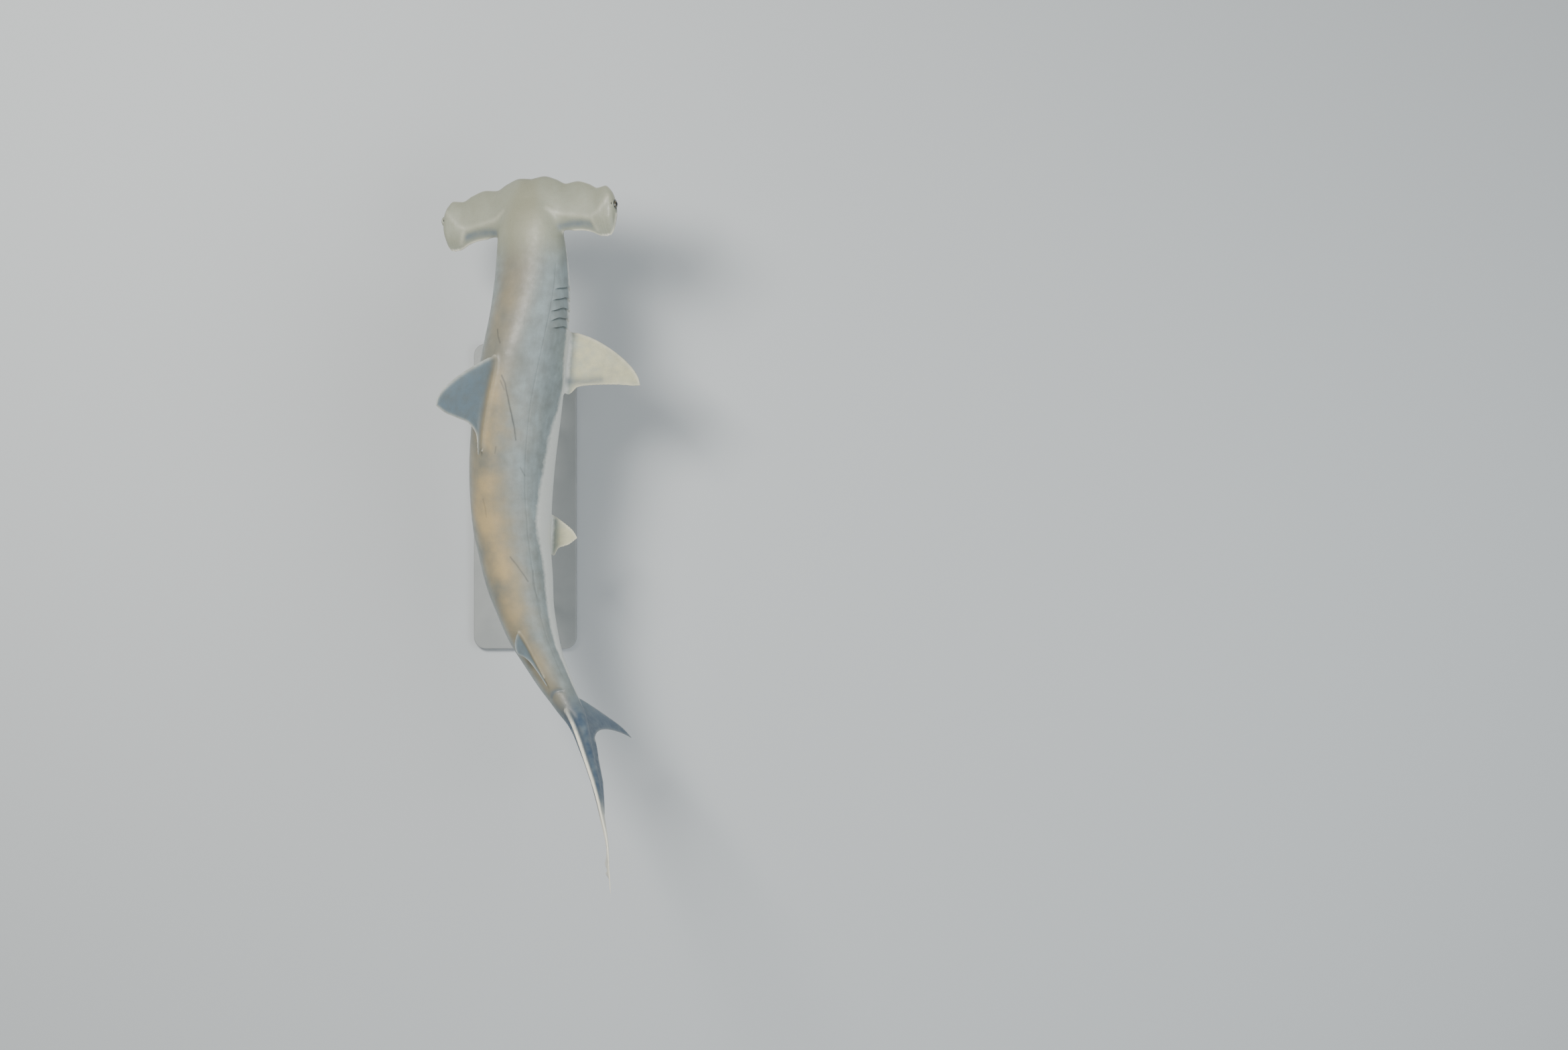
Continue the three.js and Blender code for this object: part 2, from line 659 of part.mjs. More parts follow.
// A rod with its collar, standing on the base under the body's axis and cut off by the belly
function rodGeometry(station, pose) {
  const foot = BASE.height + GAP;
  const under = place(station * PERCENT, 0, 0).applyMatrix4(pose);
  const profile = [
    [0, foot], [ROD.collar, foot], [ROD.collar, foot + ROD.collarHeight - 4],
    [ROD.collar - 4, foot + ROD.collarHeight], [ROD.radius, foot + ROD.collarHeight],
    [ROD.radius, under.z], [0, under.z],
  ].map(([x, y]) => new THREE.Vector2(x, y));
  const rod = new THREE.LatheGeometry(profile, ROD.sides).rotateX(Math.PI / 2);
  rod.translate(under.x, under.y, 0);
  rod.applyMatrix4(pose.clone().invert());
  const trimmed = geometryOf(largest(solid(rod).subtract(grownBody)));
  return trimmed.applyMatrix4(pose);
}

// Materials
const finish = (color, roughness) => new THREE.MeshStandardMaterial({ color, roughness, metalness: 0 });
const SKIN = finish(0x8d8a78, 0.55);
const FIN_SKIN = finish(0x84847a, 0.55);
const EYE = finish(0x14130f, 0.12);
const STAND = finish(0xb9bab6, 0.6);
const ROD_FINISH = finish(0x8f9294, 0.4);

function part(name, geometry, material) {
  const mesh = new THREE.Mesh(geometry, material);
  mesh.name = name;
  return mesh;
}

// Assembly
const model = new THREE.Group();
const shark = new THREE.Group();
shark.rotation.y = -radians(ROLL);
shark.position.set(SNOUT_X, SNOUT_Y, AXIS_HEIGHT);
shark.updateMatrix();

shark.add(part('head', headGeometry(), SKIN));
shark.add(part('neck', neckGeometry(), SKIN));
shark.add(part('torso_front', bodyLength(CUTS.torsoFront, CUTS.torsoRear), SKIN));
shark.add(part('torso_rear', bodyLength(CUTS.torsoRear, CUTS.tailStalk), SKIN));
shark.add(part('tail_stalk', bodyLength(CUTS.tailStalk, CUTS.caudal), SKIN));
shark.add(part('first_dorsal_fin', onBody(finBlade(FIRST_DORSAL)), FIN_SKIN));
shark.add(part('second_dorsal_fin', onBody(finBlade(SECOND_DORSAL)), FIN_SKIN));
shark.add(part('anal_fin', onBody(finBlade(ANAL)), FIN_SKIN));
for (const [name, side] of [['left', -1], ['right', 1]]) {
  shark.add(part(`eye_${name}`, eyeBall(side, EYE_RADIUS), EYE));
  shark.add(part(`pectoral_fin_${name}`, pairedFin(PECTORAL, PECTORAL_ROOT, side), FIN_SKIN));
  shark.add(part(`pelvic_fin_${name}`, pairedFin(PELVIC, PELVIC_ROOT, side), FIN_SKIN));
}
const caudal = caudalPieces();
shark.add(part('caudal_fin_upper', caudal.upper, FIN_SKIN));
shark.add(part('caudal_fin_lower', caudal.lower, FIN_SKIN));
model.add(shark);

model.add(part('stand_base', baseGeometry(), STAND));
for (const [name, station] of Object.entries(ROD_STATIONS)) {
  model.add(part(`stand_rod_${name}`, rodGeometry(station, shark.matrix), ROD_FINISH));
}

export default model;
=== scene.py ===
# A scalloped hammerhead shark, life-size, as a still model on a plain display stand.
# Metres, +Z up, +Y towards the head. The origin is the middle of the base's underside.
#
# The skin is described straight first, in its own frame: w to the shark's right, s back from the
# snout and h towards its back, kept as points (w, -s, h). posed() bends, twists and rolls that
# frame into the pose. Tables are in percent of the total length, each row a station and the value
# there.

import math

import bmesh
import bpy
import numpy as np
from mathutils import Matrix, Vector


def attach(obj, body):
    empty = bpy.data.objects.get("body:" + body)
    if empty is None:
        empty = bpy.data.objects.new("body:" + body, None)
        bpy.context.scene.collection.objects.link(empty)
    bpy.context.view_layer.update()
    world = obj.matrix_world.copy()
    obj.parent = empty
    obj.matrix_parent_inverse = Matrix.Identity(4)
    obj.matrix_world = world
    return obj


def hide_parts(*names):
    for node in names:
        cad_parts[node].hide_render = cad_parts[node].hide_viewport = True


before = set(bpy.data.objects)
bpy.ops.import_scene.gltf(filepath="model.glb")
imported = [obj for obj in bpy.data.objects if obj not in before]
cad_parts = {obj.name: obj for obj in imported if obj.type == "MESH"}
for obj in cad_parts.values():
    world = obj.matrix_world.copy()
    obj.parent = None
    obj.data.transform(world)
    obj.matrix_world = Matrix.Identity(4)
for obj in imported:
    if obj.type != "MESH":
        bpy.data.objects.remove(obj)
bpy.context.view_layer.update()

# Driving sizes
TOTAL_LENGTH = 2.5
PERCENT = TOTAL_LENGTH / 100
MM = 0.001
VOXEL = 2.3 * MM
SLENDEREST = 3.4 * MM

# Pose: the whole shark is rolled right side up, by degrees, and bends in its own rolled plane.
ROLL = 30
SNOUT = (0.027, 1.062, 0.5)
HEADING = [
    [0, 4.0], [9, 4.0], [12, 1.6], [18, -5.6], [26, -9.4], [34, -8.2], [42, -1.4], [50, 8.8],
    [58, 16.7], [64, 27.5], [71, 34.5], [74, 39.5], [79, 34.5], [85, 27.2], [92, 16], [100, 10.9],
]
TWIST = [
    [0, -4], [9, -4], [20, 4], [30, 8], [42, 4], [50, 1], [62, -2], [72, -5], [80, -7.5], [88, -12],
    [94, -15], [100, -14],
]

# The tail fin's end turns further about its front edge, by degrees at each station.
CURL = [
    [85, 0], [88.5, 7.5], [91, 15.5], [93.3, 17.5], [95.1, 23.5], [96.3, 30.5], [97.2, 28],
    [98.2, 18.5], [100, 16],
]
CURL_HEIGHT = [[86, 8.1], [90, 10.0], [95, 12.0], [98.6, 13.2], [100, 13.5]]

# Body profile
AXIS_RISE = [
    [0, -1.2], [5, -0.2], [9, 0], [70, 0], [74, 0.35], [80, 3.5], [88, 8.1], [94, 11.2], [98, 12.9],
]
HALF_WIDTH = [
    [1.2, 2.4], [3, 3.9], [6, 4.6], [9, 4.85], [12, 5.1], [16, 5.3], [24, 5.3], [34, 5.2], [42, 5.0],
    [47, 4.85], [50, 4.5], [54, 4.25], [58, 3.6], [62, 3.1], [65, 2.6], [68, 2.25], [71, 1.85],
    [75, 1.35], [80, 0.85], [88, 0.42], [94, 0.2], [98, 0.06],
]
BACK_HEIGHT = [
    [1.2, 0.6], [3, 1.6], [6, 2.6], [9, 3.1], [13, 4.0], [18, 5.2], [24, 6.4], [30, 6.8], [38, 6.5],
    [46, 5.7], [54, 4.8], [60, 3.9], [66, 2.8], [69.5, 2.2], [71, 1.8], [72.5, 1.7],
    [75, 1.25], [80, 0.9], [88, 0.6], [94, 0.3], [98, 0.06],
]
BELLY_DEPTH = [
    [1.2, 0.8], [3, 1.5], [6, 2.1], [9, 2.6], [13, 3.4], [18, 4.3], [24, 5.2], [32, 5.9], [40, 6.0],
    [48, 5.4], [54, 4.7], [60, 3.7], [66, 2.6], [71, 2.0], [75, 1.6], [80, 1.1], [88, 0.7], [94, 0.3],
    [98, 0.06],
]
BACK_FULLNESS, BELLY_FULLNESS = 0.96, 0.88
BODY_START, BODY_END = 1.4, 97.5

# Head wing: half span, edges as distance behind the snout, thickness and the droop of its front.
# Its edge tables run over the distance from the middle.
WING_HALF_SPAN = 13.05
WING_FRONT = [
    [0, 0.25], [1.8, 0.05], [3.6, 0.6], [5.3, 1.35], [6.9, 1.2], [8.8, 1.75], [10.2, 2.4], [11.5, 2.25],
    [12.2, 2.8], [12.7, 3.6], [12.92, 4.4], [13.05, 5.2],
]
WING_REAR = [
    [0, 7.9], [6, 7.85], [7.6, 7.9], [9.2, 8.25], [10.5, 8.85], [11.4, 9.05], [12.1, 8.85], [12.6, 8.1],
    [12.85, 7.2], [13.05, 6.2],
]
WING_HALF_THICKNESS = [
    [0, 1.75], [3.5, 1.25], [6, 0.98], [9, 0.88], [11, 0.98], [12.2, 0.95], [12.7, 0.74], [13.05, 0.2],
]
WING_THICKEST = 0.58
WING_CAMBER = 0.08
WING_FRONT_DROOP = 1.3

# Marks on the wing's upper side, as rows of distance from the middle and station. The ridge gets a
# painted highlight and the hollow behind it painted shade.
WING_RIDGE = [(3.3, 4.5), (4.9, 5.5), (7.3, 5.9), (9.5, 6.3), (10.7, 5.6), (11.5, 4.6), (12.2, 3.7)]
WING_RIDGE_END = [(9.6, 6.3), (9.95, 7.2), (10.3, 8.1)]
WING_SHADE = [(4.9, 7.1), (6.5, 6.95), (8.0, 7.0), (9.4, 7.3)]
WING_NICKS = (11.0, 11.34, 11.72)
NICK_DEPTH, NICK_WIDTH = 0.13, 0.09

# Eye, nostril and mouth
EYE_RADIUS = 15 * MM
EYE_CENTRE = (0.317, -0.122, 0.002)
LID_OPENING = math.radians(57)
LID_THICKNESS, LID_ROLL = 1.0 * MM, 1.7 * MM
NOSTRIL, NOSTRIL_WIDTH, NOSTRIL_DEPTH = (9.3, 10.3), 4 * MM, 8 * MM
GROOVE, GROOVE_WIDTH, GROOVE_DEPTH = (6.2, 9.4), 2.4 * MM, 2.4 * MM
MOUTH_STATION = 0.100
MOUTH_LENGTH, MOUTH_HALF_WIDTH = 0.084, 0.084
MOUTH_DEPTH, MOUTH_GROOVE = 6.5 * MM, 1.9 * MM

# Each lip's height, its distance from the line of the mouth and its width
UPPER_LIP = (1.2 * MM, 5 * MM, 3.5 * MM)
LOWER_LIP = (2.6 * MM, 7 * MM, 4.5 * MM)

# Gill slits on each side, with the share of the full height that each one has
GILLS = [(14.7, 0.9), (15.95, 1.0), (17.2, 1.03), (18.4, 0.98), (19.5, 0.8)]
GILL_PITCH = 1.25
GILL_DEPTH = 6 * MM
FLAP_LIFT = 3.2 * MM
GILL_TOP, GILL_BOTTOM = 2.3, -2.8
GILL_FADE = 0.9
GILL_LEAN = 0.5
GILL_WAVE, GILL_WAVES = 0.05, 2.6
FLAP_ROUNDING = 0.07

# Relief on the head's wing, at the tail stalk and along the flank
RIDGE_LIFT = 1.1 * MM
SHADE_DEPTH = 1.2 * MM
PIT_STATION = 70.5
PIT_DEPTH = 4 * MM
LATERAL_START, LATERAL_END = 12, 69
LATERAL_SHARE = 0.895
LINE_DEPTH = 0.5 * MM

# Markings: where tones begin and end, the belly's upper limit in degrees above the flank, the warm
# band along the back, and the scars as a strength and rows of station and distance to the side. The
# tail's dark tone is painted shade over the tail stalk and tail fin, and the pale tail end is a
# painted highlight of the tail fin's lit edge.
HEAD_TONE_END = (7, 13)
TAIL_SHADE_START, TAIL_SHADE_END = (70, 76), (86, 94)
# Where the tail's end turns pale, as a painted highlight of its lit edge
TAIL_END_HIGHLIGHT = (87, 92)
BELLY_LINE = [
    [0, -25], [8, -14], [13, -9], [18, -13], [24, -16], [27, -22], [30, -18], [33, -9], [38, -3],
    [43, 6], [47, 12], [52, 4], [58, 4], [64, 8], [68, 2], [72, -12], [76, -50], [80, -100],
    [100, -100],
]
WARM_BACK = [
    [0, 0.2], [9, 0.15], [14, 0.3], [18, 0.4], [24, 0.3], [30, 0.75], [36, 0.95], [52, 1.0], [60, 0.75],
    [66, 0.4], [72, 0.15], [80, 0],
]
WARM_MIDDLE = [
    [0, 0], [12, -0.8], [20, -0.6], [28, 0.8], [33, 1.0], [40, 0], [50, 0], [56, 0.5], [64, 0.4],
    [70, 0],
]
WARM_WIDTH = [[0, 0.7], [12, 0.4], [24, 0.42], [34, 0.5], [50, 0.58], [62, 0.6], [70, 0.6]]
SCARS = [
    (0.9, [(20.7, -0.89), (21.6, -0.41), (22.4, 0.21)]),
    (1.0, [(26.6, 1.62), (27.5, 2.23), (29.4, 2.86), (31.4, 3.36), (33.3, 3.74), (34.9, 3.90)]),
    (0.7, [(27.3, 1.62), (28.4, 2.31)]),
    (0.35, [(17.5, 2.15), (18.4, 2.48), (19.6, 2.64)]),
    (0.6, [(36.1, 1.93), (37.0, 1.83)]),
    (0.6, [(38.7, 4.25), (39.9, 4.53)]),
    (0.8, [(51.3, 2.14), (52.5, 2.61), (54.1, 3.04), (55.0, 3.19)]),
    (0.45, [(53.6, 3.83), (55.6, 3.47), (57.7, 3.32), (59.7, 3.08)]),
    (0.45, [(43.2, -0.2), (44.4, 0), (45.6, 0)]),
]

# Stand, whose rods each have a station on the body and a height for their hidden upper end
BASE_LENGTH, BASE_WIDTH, BASE_HEIGHT = 1.04, 0.35, 0.022
BASE_CORNER, BASE_BEVEL = 40 * MM, 4 * MM
ROD, COLLAR, COLLAR_HEIGHT = 14 * MM, 30 * MM, 14 * MM
COLLAR_EDGE, COLLAR_HOLLOW = 4 * MM, 5 * MM
RODS = [("stand_rod_front", 31, 0.346), ("stand_rod_rear", 55, 0.38)]


def smooth_step(x):
    x = np.clip(x, 0, 1)
    return x * x * (3 - 2 * x)


def rising(value, span):
    """0 before a span and 1 after it."""
    return smooth_step((value - span[0]) / (span[1] - span[0]))


def bell(distance, width):
    return np.exp(-((distance / width) ** 2))


def along(table, at):
    """A smooth curve through a table's rows that never overshoots them."""
    x, y = np.array(table, float).T
    secants = np.diff(y) / np.diff(x)
    before = np.append(secants[0], secants)
    after = np.append(secants, secants[-1])
    agree = before * after > 0
    slopes = np.where(agree, 2 * before * after / np.where(agree, before + after, 1), 0)
    at = np.clip(at, x[0], x[-1])
    i = np.clip(np.searchsorted(x, at, side="right") - 1, 0, len(x) - 2)
    step = x[i + 1] - x[i]
    u = (at - x[i]) / step
    return (
        (2 * u**3 - 3 * u**2 + 1) * y[i]
        + (u**3 - 2 * u**2 + u) * step * slopes[i]
        + (3 * u**2 - 2 * u**3) * y[i + 1]
        + (u**3 - u**2) * step * slopes[i + 1]
    )


# The bent axis, traced in short steps from the snout to the tip of the tail
SPINE_STEP = 1 * MM
SPINE_S = np.arange(0, TOTAL_LENGTH * 1.05, SPINE_STEP)
STEP_HEADINGS = np.radians(along(HEADING, (SPINE_S[:-1] + SPINE_STEP / 2) / PERCENT))
SPINE_X = np.append(0, np.cumsum(np.sin(STEP_HEADINGS)) * SPINE_STEP)
SPINE_Y = np.append(0, -np.cumsum(np.cos(STEP_HEADINGS)) * SPINE_STEP)


def turned(w, h, degrees):
    angle = np.radians(degrees)
    return w * np.cos(angle) - h * np.sin(angle), w * np.sin(angle) + h * np.cos(angle)


def posed(points):
    """From the straight frame to the bent, twisted and rolled shark in the row frame."""
    w, s, h = points[:, 0], -points[:, 1], points[:, 2]
    heading = np.radians(along(HEADING, s / PERCENT))
    pivot = along(CURL_HEIGHT, s / PERCENT) * PERCENT
    curled, from_pivot = turned(w, h - pivot, -along(CURL, s / PERCENT))
    side, rise = turned(curled, pivot + from_pivot, along(TWIST, s / PERCENT))
    x = np.interp(s, SPINE_S, SPINE_X) + side * np.cos(heading)
    y = np.interp(s, SPINE_S, SPINE_Y) + side * np.sin(heading)
    x, z = turned(x, rise, ROLL)
    return np.column_stack([x, y, z]) + SNOUT


# Rough closed forms, as rings of points (w, -s, h)
def half_section(stations, upper):
    """The height and the fullness of the body's upper or lower half."""
    height = np.where(upper, along(BACK_HEIGHT, stations), along(BELLY_DEPTH, stations))
    return height, np.where(upper, BACK_FULLNESS, BELLY_FULLNESS)


def body_rings(sides=160, spacing=0.25):
    stations = np.arange(BODY_START, BODY_END, spacing)[:, None]
    angle = np.linspace(0, 2 * np.pi, sides, endpoint=False)[None, :]
    height, fullness = half_section(stations, np.sin(angle) >= 0)
    w = along(HALF_WIDTH, stations) * np.sign(np.cos(angle)) * np.abs(np.cos(angle)) ** fullness
    h = height * np.sign(np.sin(angle)) * np.abs(np.sin(angle)) ** fullness
    h = h + along(AXIS_RISE, stations)
    return np.stack([w, -stations + 0 * w, h], axis=-1) * PERCENT


def wing_section(chord):
    """Thickness along the chord: half an ellipse up to the thickest line and a wedge behind it."""
    ahead = np.sqrt(np.clip(1 - (1 - chord / WING_THICKEST) ** 2, 0, 1))
    behind = np.cos(np.pi / 2 * np.clip((chord - WING_THICKEST) / (1 - WING_THICKEST), 0, 1))
    return np.where(chord < WING_THICKEST, ahead, behind)


def wing_point(across, chord, side):
    out = np.abs(across)
    front = along(WING_FRONT, out)
    nicks = sum(bell(out - nick, NICK_WIDTH) for nick in WING_NICKS)
    rear = along(WING_REAR, out) - NICK_DEPTH * nicks
    thickness = along(WING_HALF_THICKNESS, out) * wing_section(chord) + WING_CAMBER * chord
    droop = WING_FRONT_DROOP * (1 - chord) ** 2 * (1 - (out / WING_HALF_SPAN) ** 2)
    station = front + (rear - front) * chord
    return np.stack(np.broadcast_arrays(across, -station, side * thickness - droop), axis=-1) * PERCENT


def chords(columns):
    """Shares of the chord, closer together at both edges."""
    return (1 - np.cos(np.linspace(0, np.pi, columns))) / 2


def wing_rings(rows=360, columns=70):
    """The wing's sections from end to end, closer together towards its tips."""
    widest = 0.47 * math.pi
    across = WING_HALF_SPAN * np.sin(np.linspace(-widest, widest, rows))[:, None] / math.sin(widest)
    chord = chords(columns)[None, :]
    upper, lower = wing_point(across, chord, 1), wing_point(across, chord[:, ::-1], -1)
    return np.concatenate([upper, lower], axis=1)


# Fins: a blade between a front and a rear edge, both from root to tip, in percent. Each edge point
# is its station and its distance out from the root line. origin, out and across turn the blade's
# own plane into the straight frame.
UPRIGHT = {"origin": (0, 0, 0), "out": (0, 0, 1), "across": (1, 0, 0)}
HANGING = {"origin": (0, 0, 0), "out": (0, 0, -1), "across": (1, 0, 0)}


def drooping(w, h, droop, side):
    """A paired fin's plane, which leaves the body low on the flank and droops outwards."""
    turn = math.radians(droop)
    return {
        "origin": (side * w * PERCENT, 0, h * PERCENT),
        "out": (side * math.cos(turn), 0, -math.sin(turn)),
        "across": (side * math.sin(turn), 0, math.cos(turn)),
    }


# Each fin's free edges start at the shares of the way to the tip in free, front and rear, and
# rims says how pale those edges are; the strong pale rim on the upper tail fin's front edge is a
# painted highlight of that lit edge. Between the stations of rim_start the pale edge grows to its
# full strength. A notch is its place and width as such shares, and its depth.
PECTORAL = {
    "front": [
        (19.9, -1.0), (20.1, 1.2), (20.7, 4.0), (21.9, 6.9), (23.3, 9.2), (24.6, 10.5), (25.7, 11.0),
    ],
    "rear": [
        (25.8, -1.0), (28.5, 1.4), (27.1, 2.8), (26.4, 5.6), (26.0, 8.2), (25.9, 9.9), (25.7, 11.0),
    ],
    "thickness": (36, 5),
    "fillet": 11,
    "rims": (0.6, 0.25),
    "paired": True,
    # Painted shadow of the body over the fin near its root, over a dusky band inside the rear edge
    "shade": [(26.5, 1.4), (26.3, 3.2), (25.7, 5.6)],
}
PELVIC = {
    "front": [(44.0, -0.8), (44.9, 0.9), (46.3, 2.6), (47.9, 4.1), (49.3, 4.7)],
    "rear": [(48.9, -0.8), (51.3, 1.0), (50.4, 2.0), (50.1, 3.4), (49.3, 4.7)],
    "thickness": (18, 4),
    "fillet": 7,
    "rims": (0.5, 0.5),
    "paired": True,
}
FINS = {
    "first_dorsal": {
        "front": [
            (23.4, 5.0), (24.3, 7.2), (25.2, 9.3), (26.9, 12.7), (28.7, 15.3), (30.2, 16.6),
            (31.3, 16.7),
        ],
        "rear": [
            (34.4, 5.0), (37.6, 7.3), (34.8, 8.1), (33.4, 9.8), (32.8, 12.0), (32.2, 14.6),
            (31.3, 16.7),
        ],
        "thickness": (34, 7),
        "fillet": 11,
        "rims": (0.4, 0.6),
        "plane": UPRIGHT,
    },
    "second_dorsal": {
        "front": [(60.6, 2.6), (61.6, 4.2), (62.9, 5.7), (64.0, 6.3), (64.7, 6.2)],
        "rear": [(65.0, 2.2), (69.6, 2.85), (66.6, 3.6), (65.2, 4.8), (64.7, 6.2)],
        "thickness": (13, 3),
        "fillet": 5,
        "rims": (0.2, 0.3),
        "plane": UPRIGHT,
    },
    "anal": {
        "front": [(58.8, 2.6), (60.0, 4.3), (61.4, 5.7), (62.6, 6.4), (63.3, 6.3)],
        "rear": [(64.6, 1.6), (67.4, 2.7), (64.9, 3.2), (63.3, 4.4), (63.3, 6.3)],
        "thickness": (13, 3),
        "fillet": 5,
        "rims": (0.3, 0.6),
        "plane": HANGING,
    },
    "pectoral_right": {**PECTORAL, "plane": drooping(3.6, -3.0, 34, 1)},
    "pectoral_left": {**PECTORAL, "plane": drooping(3.6, -3.0, 34, -1)},
    "pelvic_right": {**PELVIC, "plane": drooping(1.9, -4.3, 22, 1)},
    "pelvic_left": {**PELVIC, "plane": drooping(1.9, -4.3, 22, -1)},
    "caudal_upper": {
        "front": [
            (71.2, 0.8), (73, 1.8), (76, 3.0), (80, 5.1), (85, 7.6), (90, 10.0), (95, 12.0),
            (98.6, 13.2), (100, 13.5),
        ],
        "rear": [
            (71.8, -1.3), (75, -2.0), (78.0, -1.4), (82.0, 1.5), (87, 4.9), (91.5, 7.5), (95.0, 9.2),
            (97.4, 10.3), (100, 13.5),
        ],
        "thickness": (22, 4),
        "fillet": 5,
        # The strong front rim is a painted highlight of the tail fin's lit front edge.
        "rims": (1.7, 0.3),
        "rim_start": (73, 80),
        "free": (0.03, 0.35),
        "notch": (0.82, 0.025, 0.5),
        "plane": UPRIGHT,
    },
    "caudal_lower": {
        "front": [(70.4, 0.4), (70.7, -2.5), (71.9, -5.6), (73.8, -9.0), (75.7, -11.9), (77.5, -13.3)],
        "rear": [(79.6, 0.6), (77.6, -2.0), (76.6, -4.4), (76.3, -7.3), (76.7, -10.7), (77.5, -13.3)],
        "thickness": (20, 4),
        "fillet": 7,
        "rims": (0.4, 0.2),
        "free": (0.2, 0.12),
        "plane": UPRIGHT,
    },
}
NO_NOTCH = (0.5, 1.0, 0.0)
ROOT_SHARE = 1.02
WING_FILLET, WING_FILLET_ROUNDS = 34, 150

# Pulls of the rounds that smooth the whole skin: each pair smooths it and then restores its size.
SMOOTHING = [0.6, -0.62] * 4
FINER_SMOOTHING = [0.5, -0.52] * 2


def spline(points, u):
    """Points along a smooth curve through all of its knots, in metres."""
    knots = np.array(points, float) * PERCENT
    last = len(knots) - 1
    place = np.clip(u, 0, 1) * last
    i = np.minimum(place.astype(int), last - 1)
    t = (place - i)[:, None]
    p0, p1, p2, p3 = (knots[np.clip(i + k, 0, last)] for k in (-1, 0, 1, 2))
    v0, v1 = (p2 - p0) / 2, (p3 - p1) / 2
    return (2 * p1 - 2 * p2 + v0 + v1) * t**3 + (3 * p2 - 3 * p1 - 2 * v0 - v1) * t**2 + v0 * t + p1


def onto_plane(points, plane):
    """Points of the straight frame as station, distance out and distance across, in metres."""
    away = points - np.array(plane["origin"])
    out, across = away @ np.array(plane["out"]), away @ np.array(plane["across"])
    return np.column_stack([-points[:, 1], out, across])


def off_plane(station, out, across, plane):
    point = np.array(plane["origin"]) + out[..., None] * plane["out"]
    point = point + across[..., None] * plane["across"]
    point[..., 1] -= station
    return point


def fin_edges(fin, u):
    """A fin's front and rear edges at shares of the way from root to tip, in its own plane."""
    front, rear = spline(fin["front"], u), spline(fin["rear"], u)
    place, width, depth = fin.get("notch", NO_NOTCH)
    return front, rear + (front - rear) * (depth * bell(u - place, width))[:, None]


def foil(chord):
    """A fin section's thickness along its chord: round in front, thin behind, and 1 at most."""
    return 3.165 * np.sqrt(chord) * (1 - chord) ** 1.6


def fin_rings(fin, rows=140, columns=48):
    u = np.linspace(0, 1, rows)
    front, rear = fin_edges(fin, u)
    root, tip = fin["thickness"]
    chord = chords(columns)[None, :]
    middle = front[:, None] * (1 - chord[..., None]) + rear[:, None] * chord[..., None]
    full = ((root + (tip - root) * smooth_step(u)) * (1 - u**12))[:, None] * MM
    half = np.maximum(full * foil(chord), SLENDEREST * smooth_step(chord * 30)) / 2
    station, out = middle[..., 0], middle[..., 1]
    near, far = (off_plane(station, out, side * half, fin["plane"]) for side in (1, -1))
    return np.concatenate([near, far[:, ::-1]], axis=1)


def loft(rings):
    """Points and quads of a skin over rings of points, drawn together at both ends."""
    first, last = (end.mean(axis=1, keepdims=True) + 0 * end for end in (rings[:1], rings[-1:]))
    rings = np.concatenate([first, rings, last])
    count, sides = rings.shape[:2]
    r, i = np.meshgrid(np.arange(count - 1), np.arange(sides), indexing="ij")
    a, b = r * sides + i, r * sides + (i + 1) % sides
    return rings.reshape(-1, 3), np.stack([a, b, b + sides, a + sides], axis=-1).reshape(-1, 4)


def mesh_from(name, forms):
    """One mesh that holds every form."""
    start, points, faces = 0, [], []
    for form_points, form_faces in forms:
        points.append(form_points)
        faces.append(form_faces + start)
        start += len(form_points)
    points, faces = np.concatenate(points), np.concatenate(faces)
    mesh = bpy.data.meshes.new(name)
    mesh.vertices.add(len(points))
    mesh.loops.add(faces.size)
    mesh.loops.foreach_set("vertex_index", faces.astype(np.int32).ravel())
    mesh.polygons.add(len(faces))
    mesh.polygons.foreach_set("loop_start", np.arange(0, faces.size, faces.shape[1], dtype=np.int32))
    set_points(mesh, points)
    mesh.update(calc_edges=True)
    return mesh


def placed(name, data):
    """A new object in the scene."""
    made = bpy.data.objects.new(name, data)
    bpy.context.scene.collection.objects.link(made)
    return made


def in_one(mesh):
    """The forms of a mesh as one even skin."""
    rough = placed("rough", mesh)
    remesh = rough.modifiers.new("remesh", "REMESH")
    remesh.mode = "VOXEL"
    remesh.voxel_size = VOXEL
    graph = bpy.context.evaluated_depsgraph_get()
    skin = bpy.data.meshes.new_from_object(rough.evaluated_get(graph))
    bpy.data.objects.remove(rough)
    return skin


def vectors(items, field):
    values = np.empty(len(items) * 3, np.float32)
    items.foreach_get(field, values)
    return values.reshape(-1, 3).astype(float)


def points_of(mesh):
    return vectors(mesh.vertices, "co")


def set_points(mesh, points):
    mesh.vertices.foreach_set("co", points.astype(np.float32).ravel())
    mesh.update()


def normals_of(mesh, points):
    set_points(mesh, points)
    return vectors(mesh.vertex_normals, "vector")


def relaxed(mesh, points, weight, rounds):
    """Each point moves towards the middle of its neighbours, by its own weight in each round."""
    edges = np.empty(len(mesh.edges) * 2, np.int32)
    mesh.edges.foreach_get("vertices", edges)
    edges = edges.reshape(-1, 2)
    both = np.concatenate([edges, edges[:, ::-1]])
    both = both[weight[both[:, 0]] > 0]
    both = both[np.argsort(both[:, 0], kind="stable")]
    moving, starts, count = np.unique(both[:, 0], return_index=True, return_counts=True)
    points = points.copy()
    for pull in rounds:
        middle = np.add.reduceat(points[both[:, 1]], starts, axis=0) / count[:, None]
        points[moving] += pull * weight[moving, None] * (middle - points[moving])
    return points


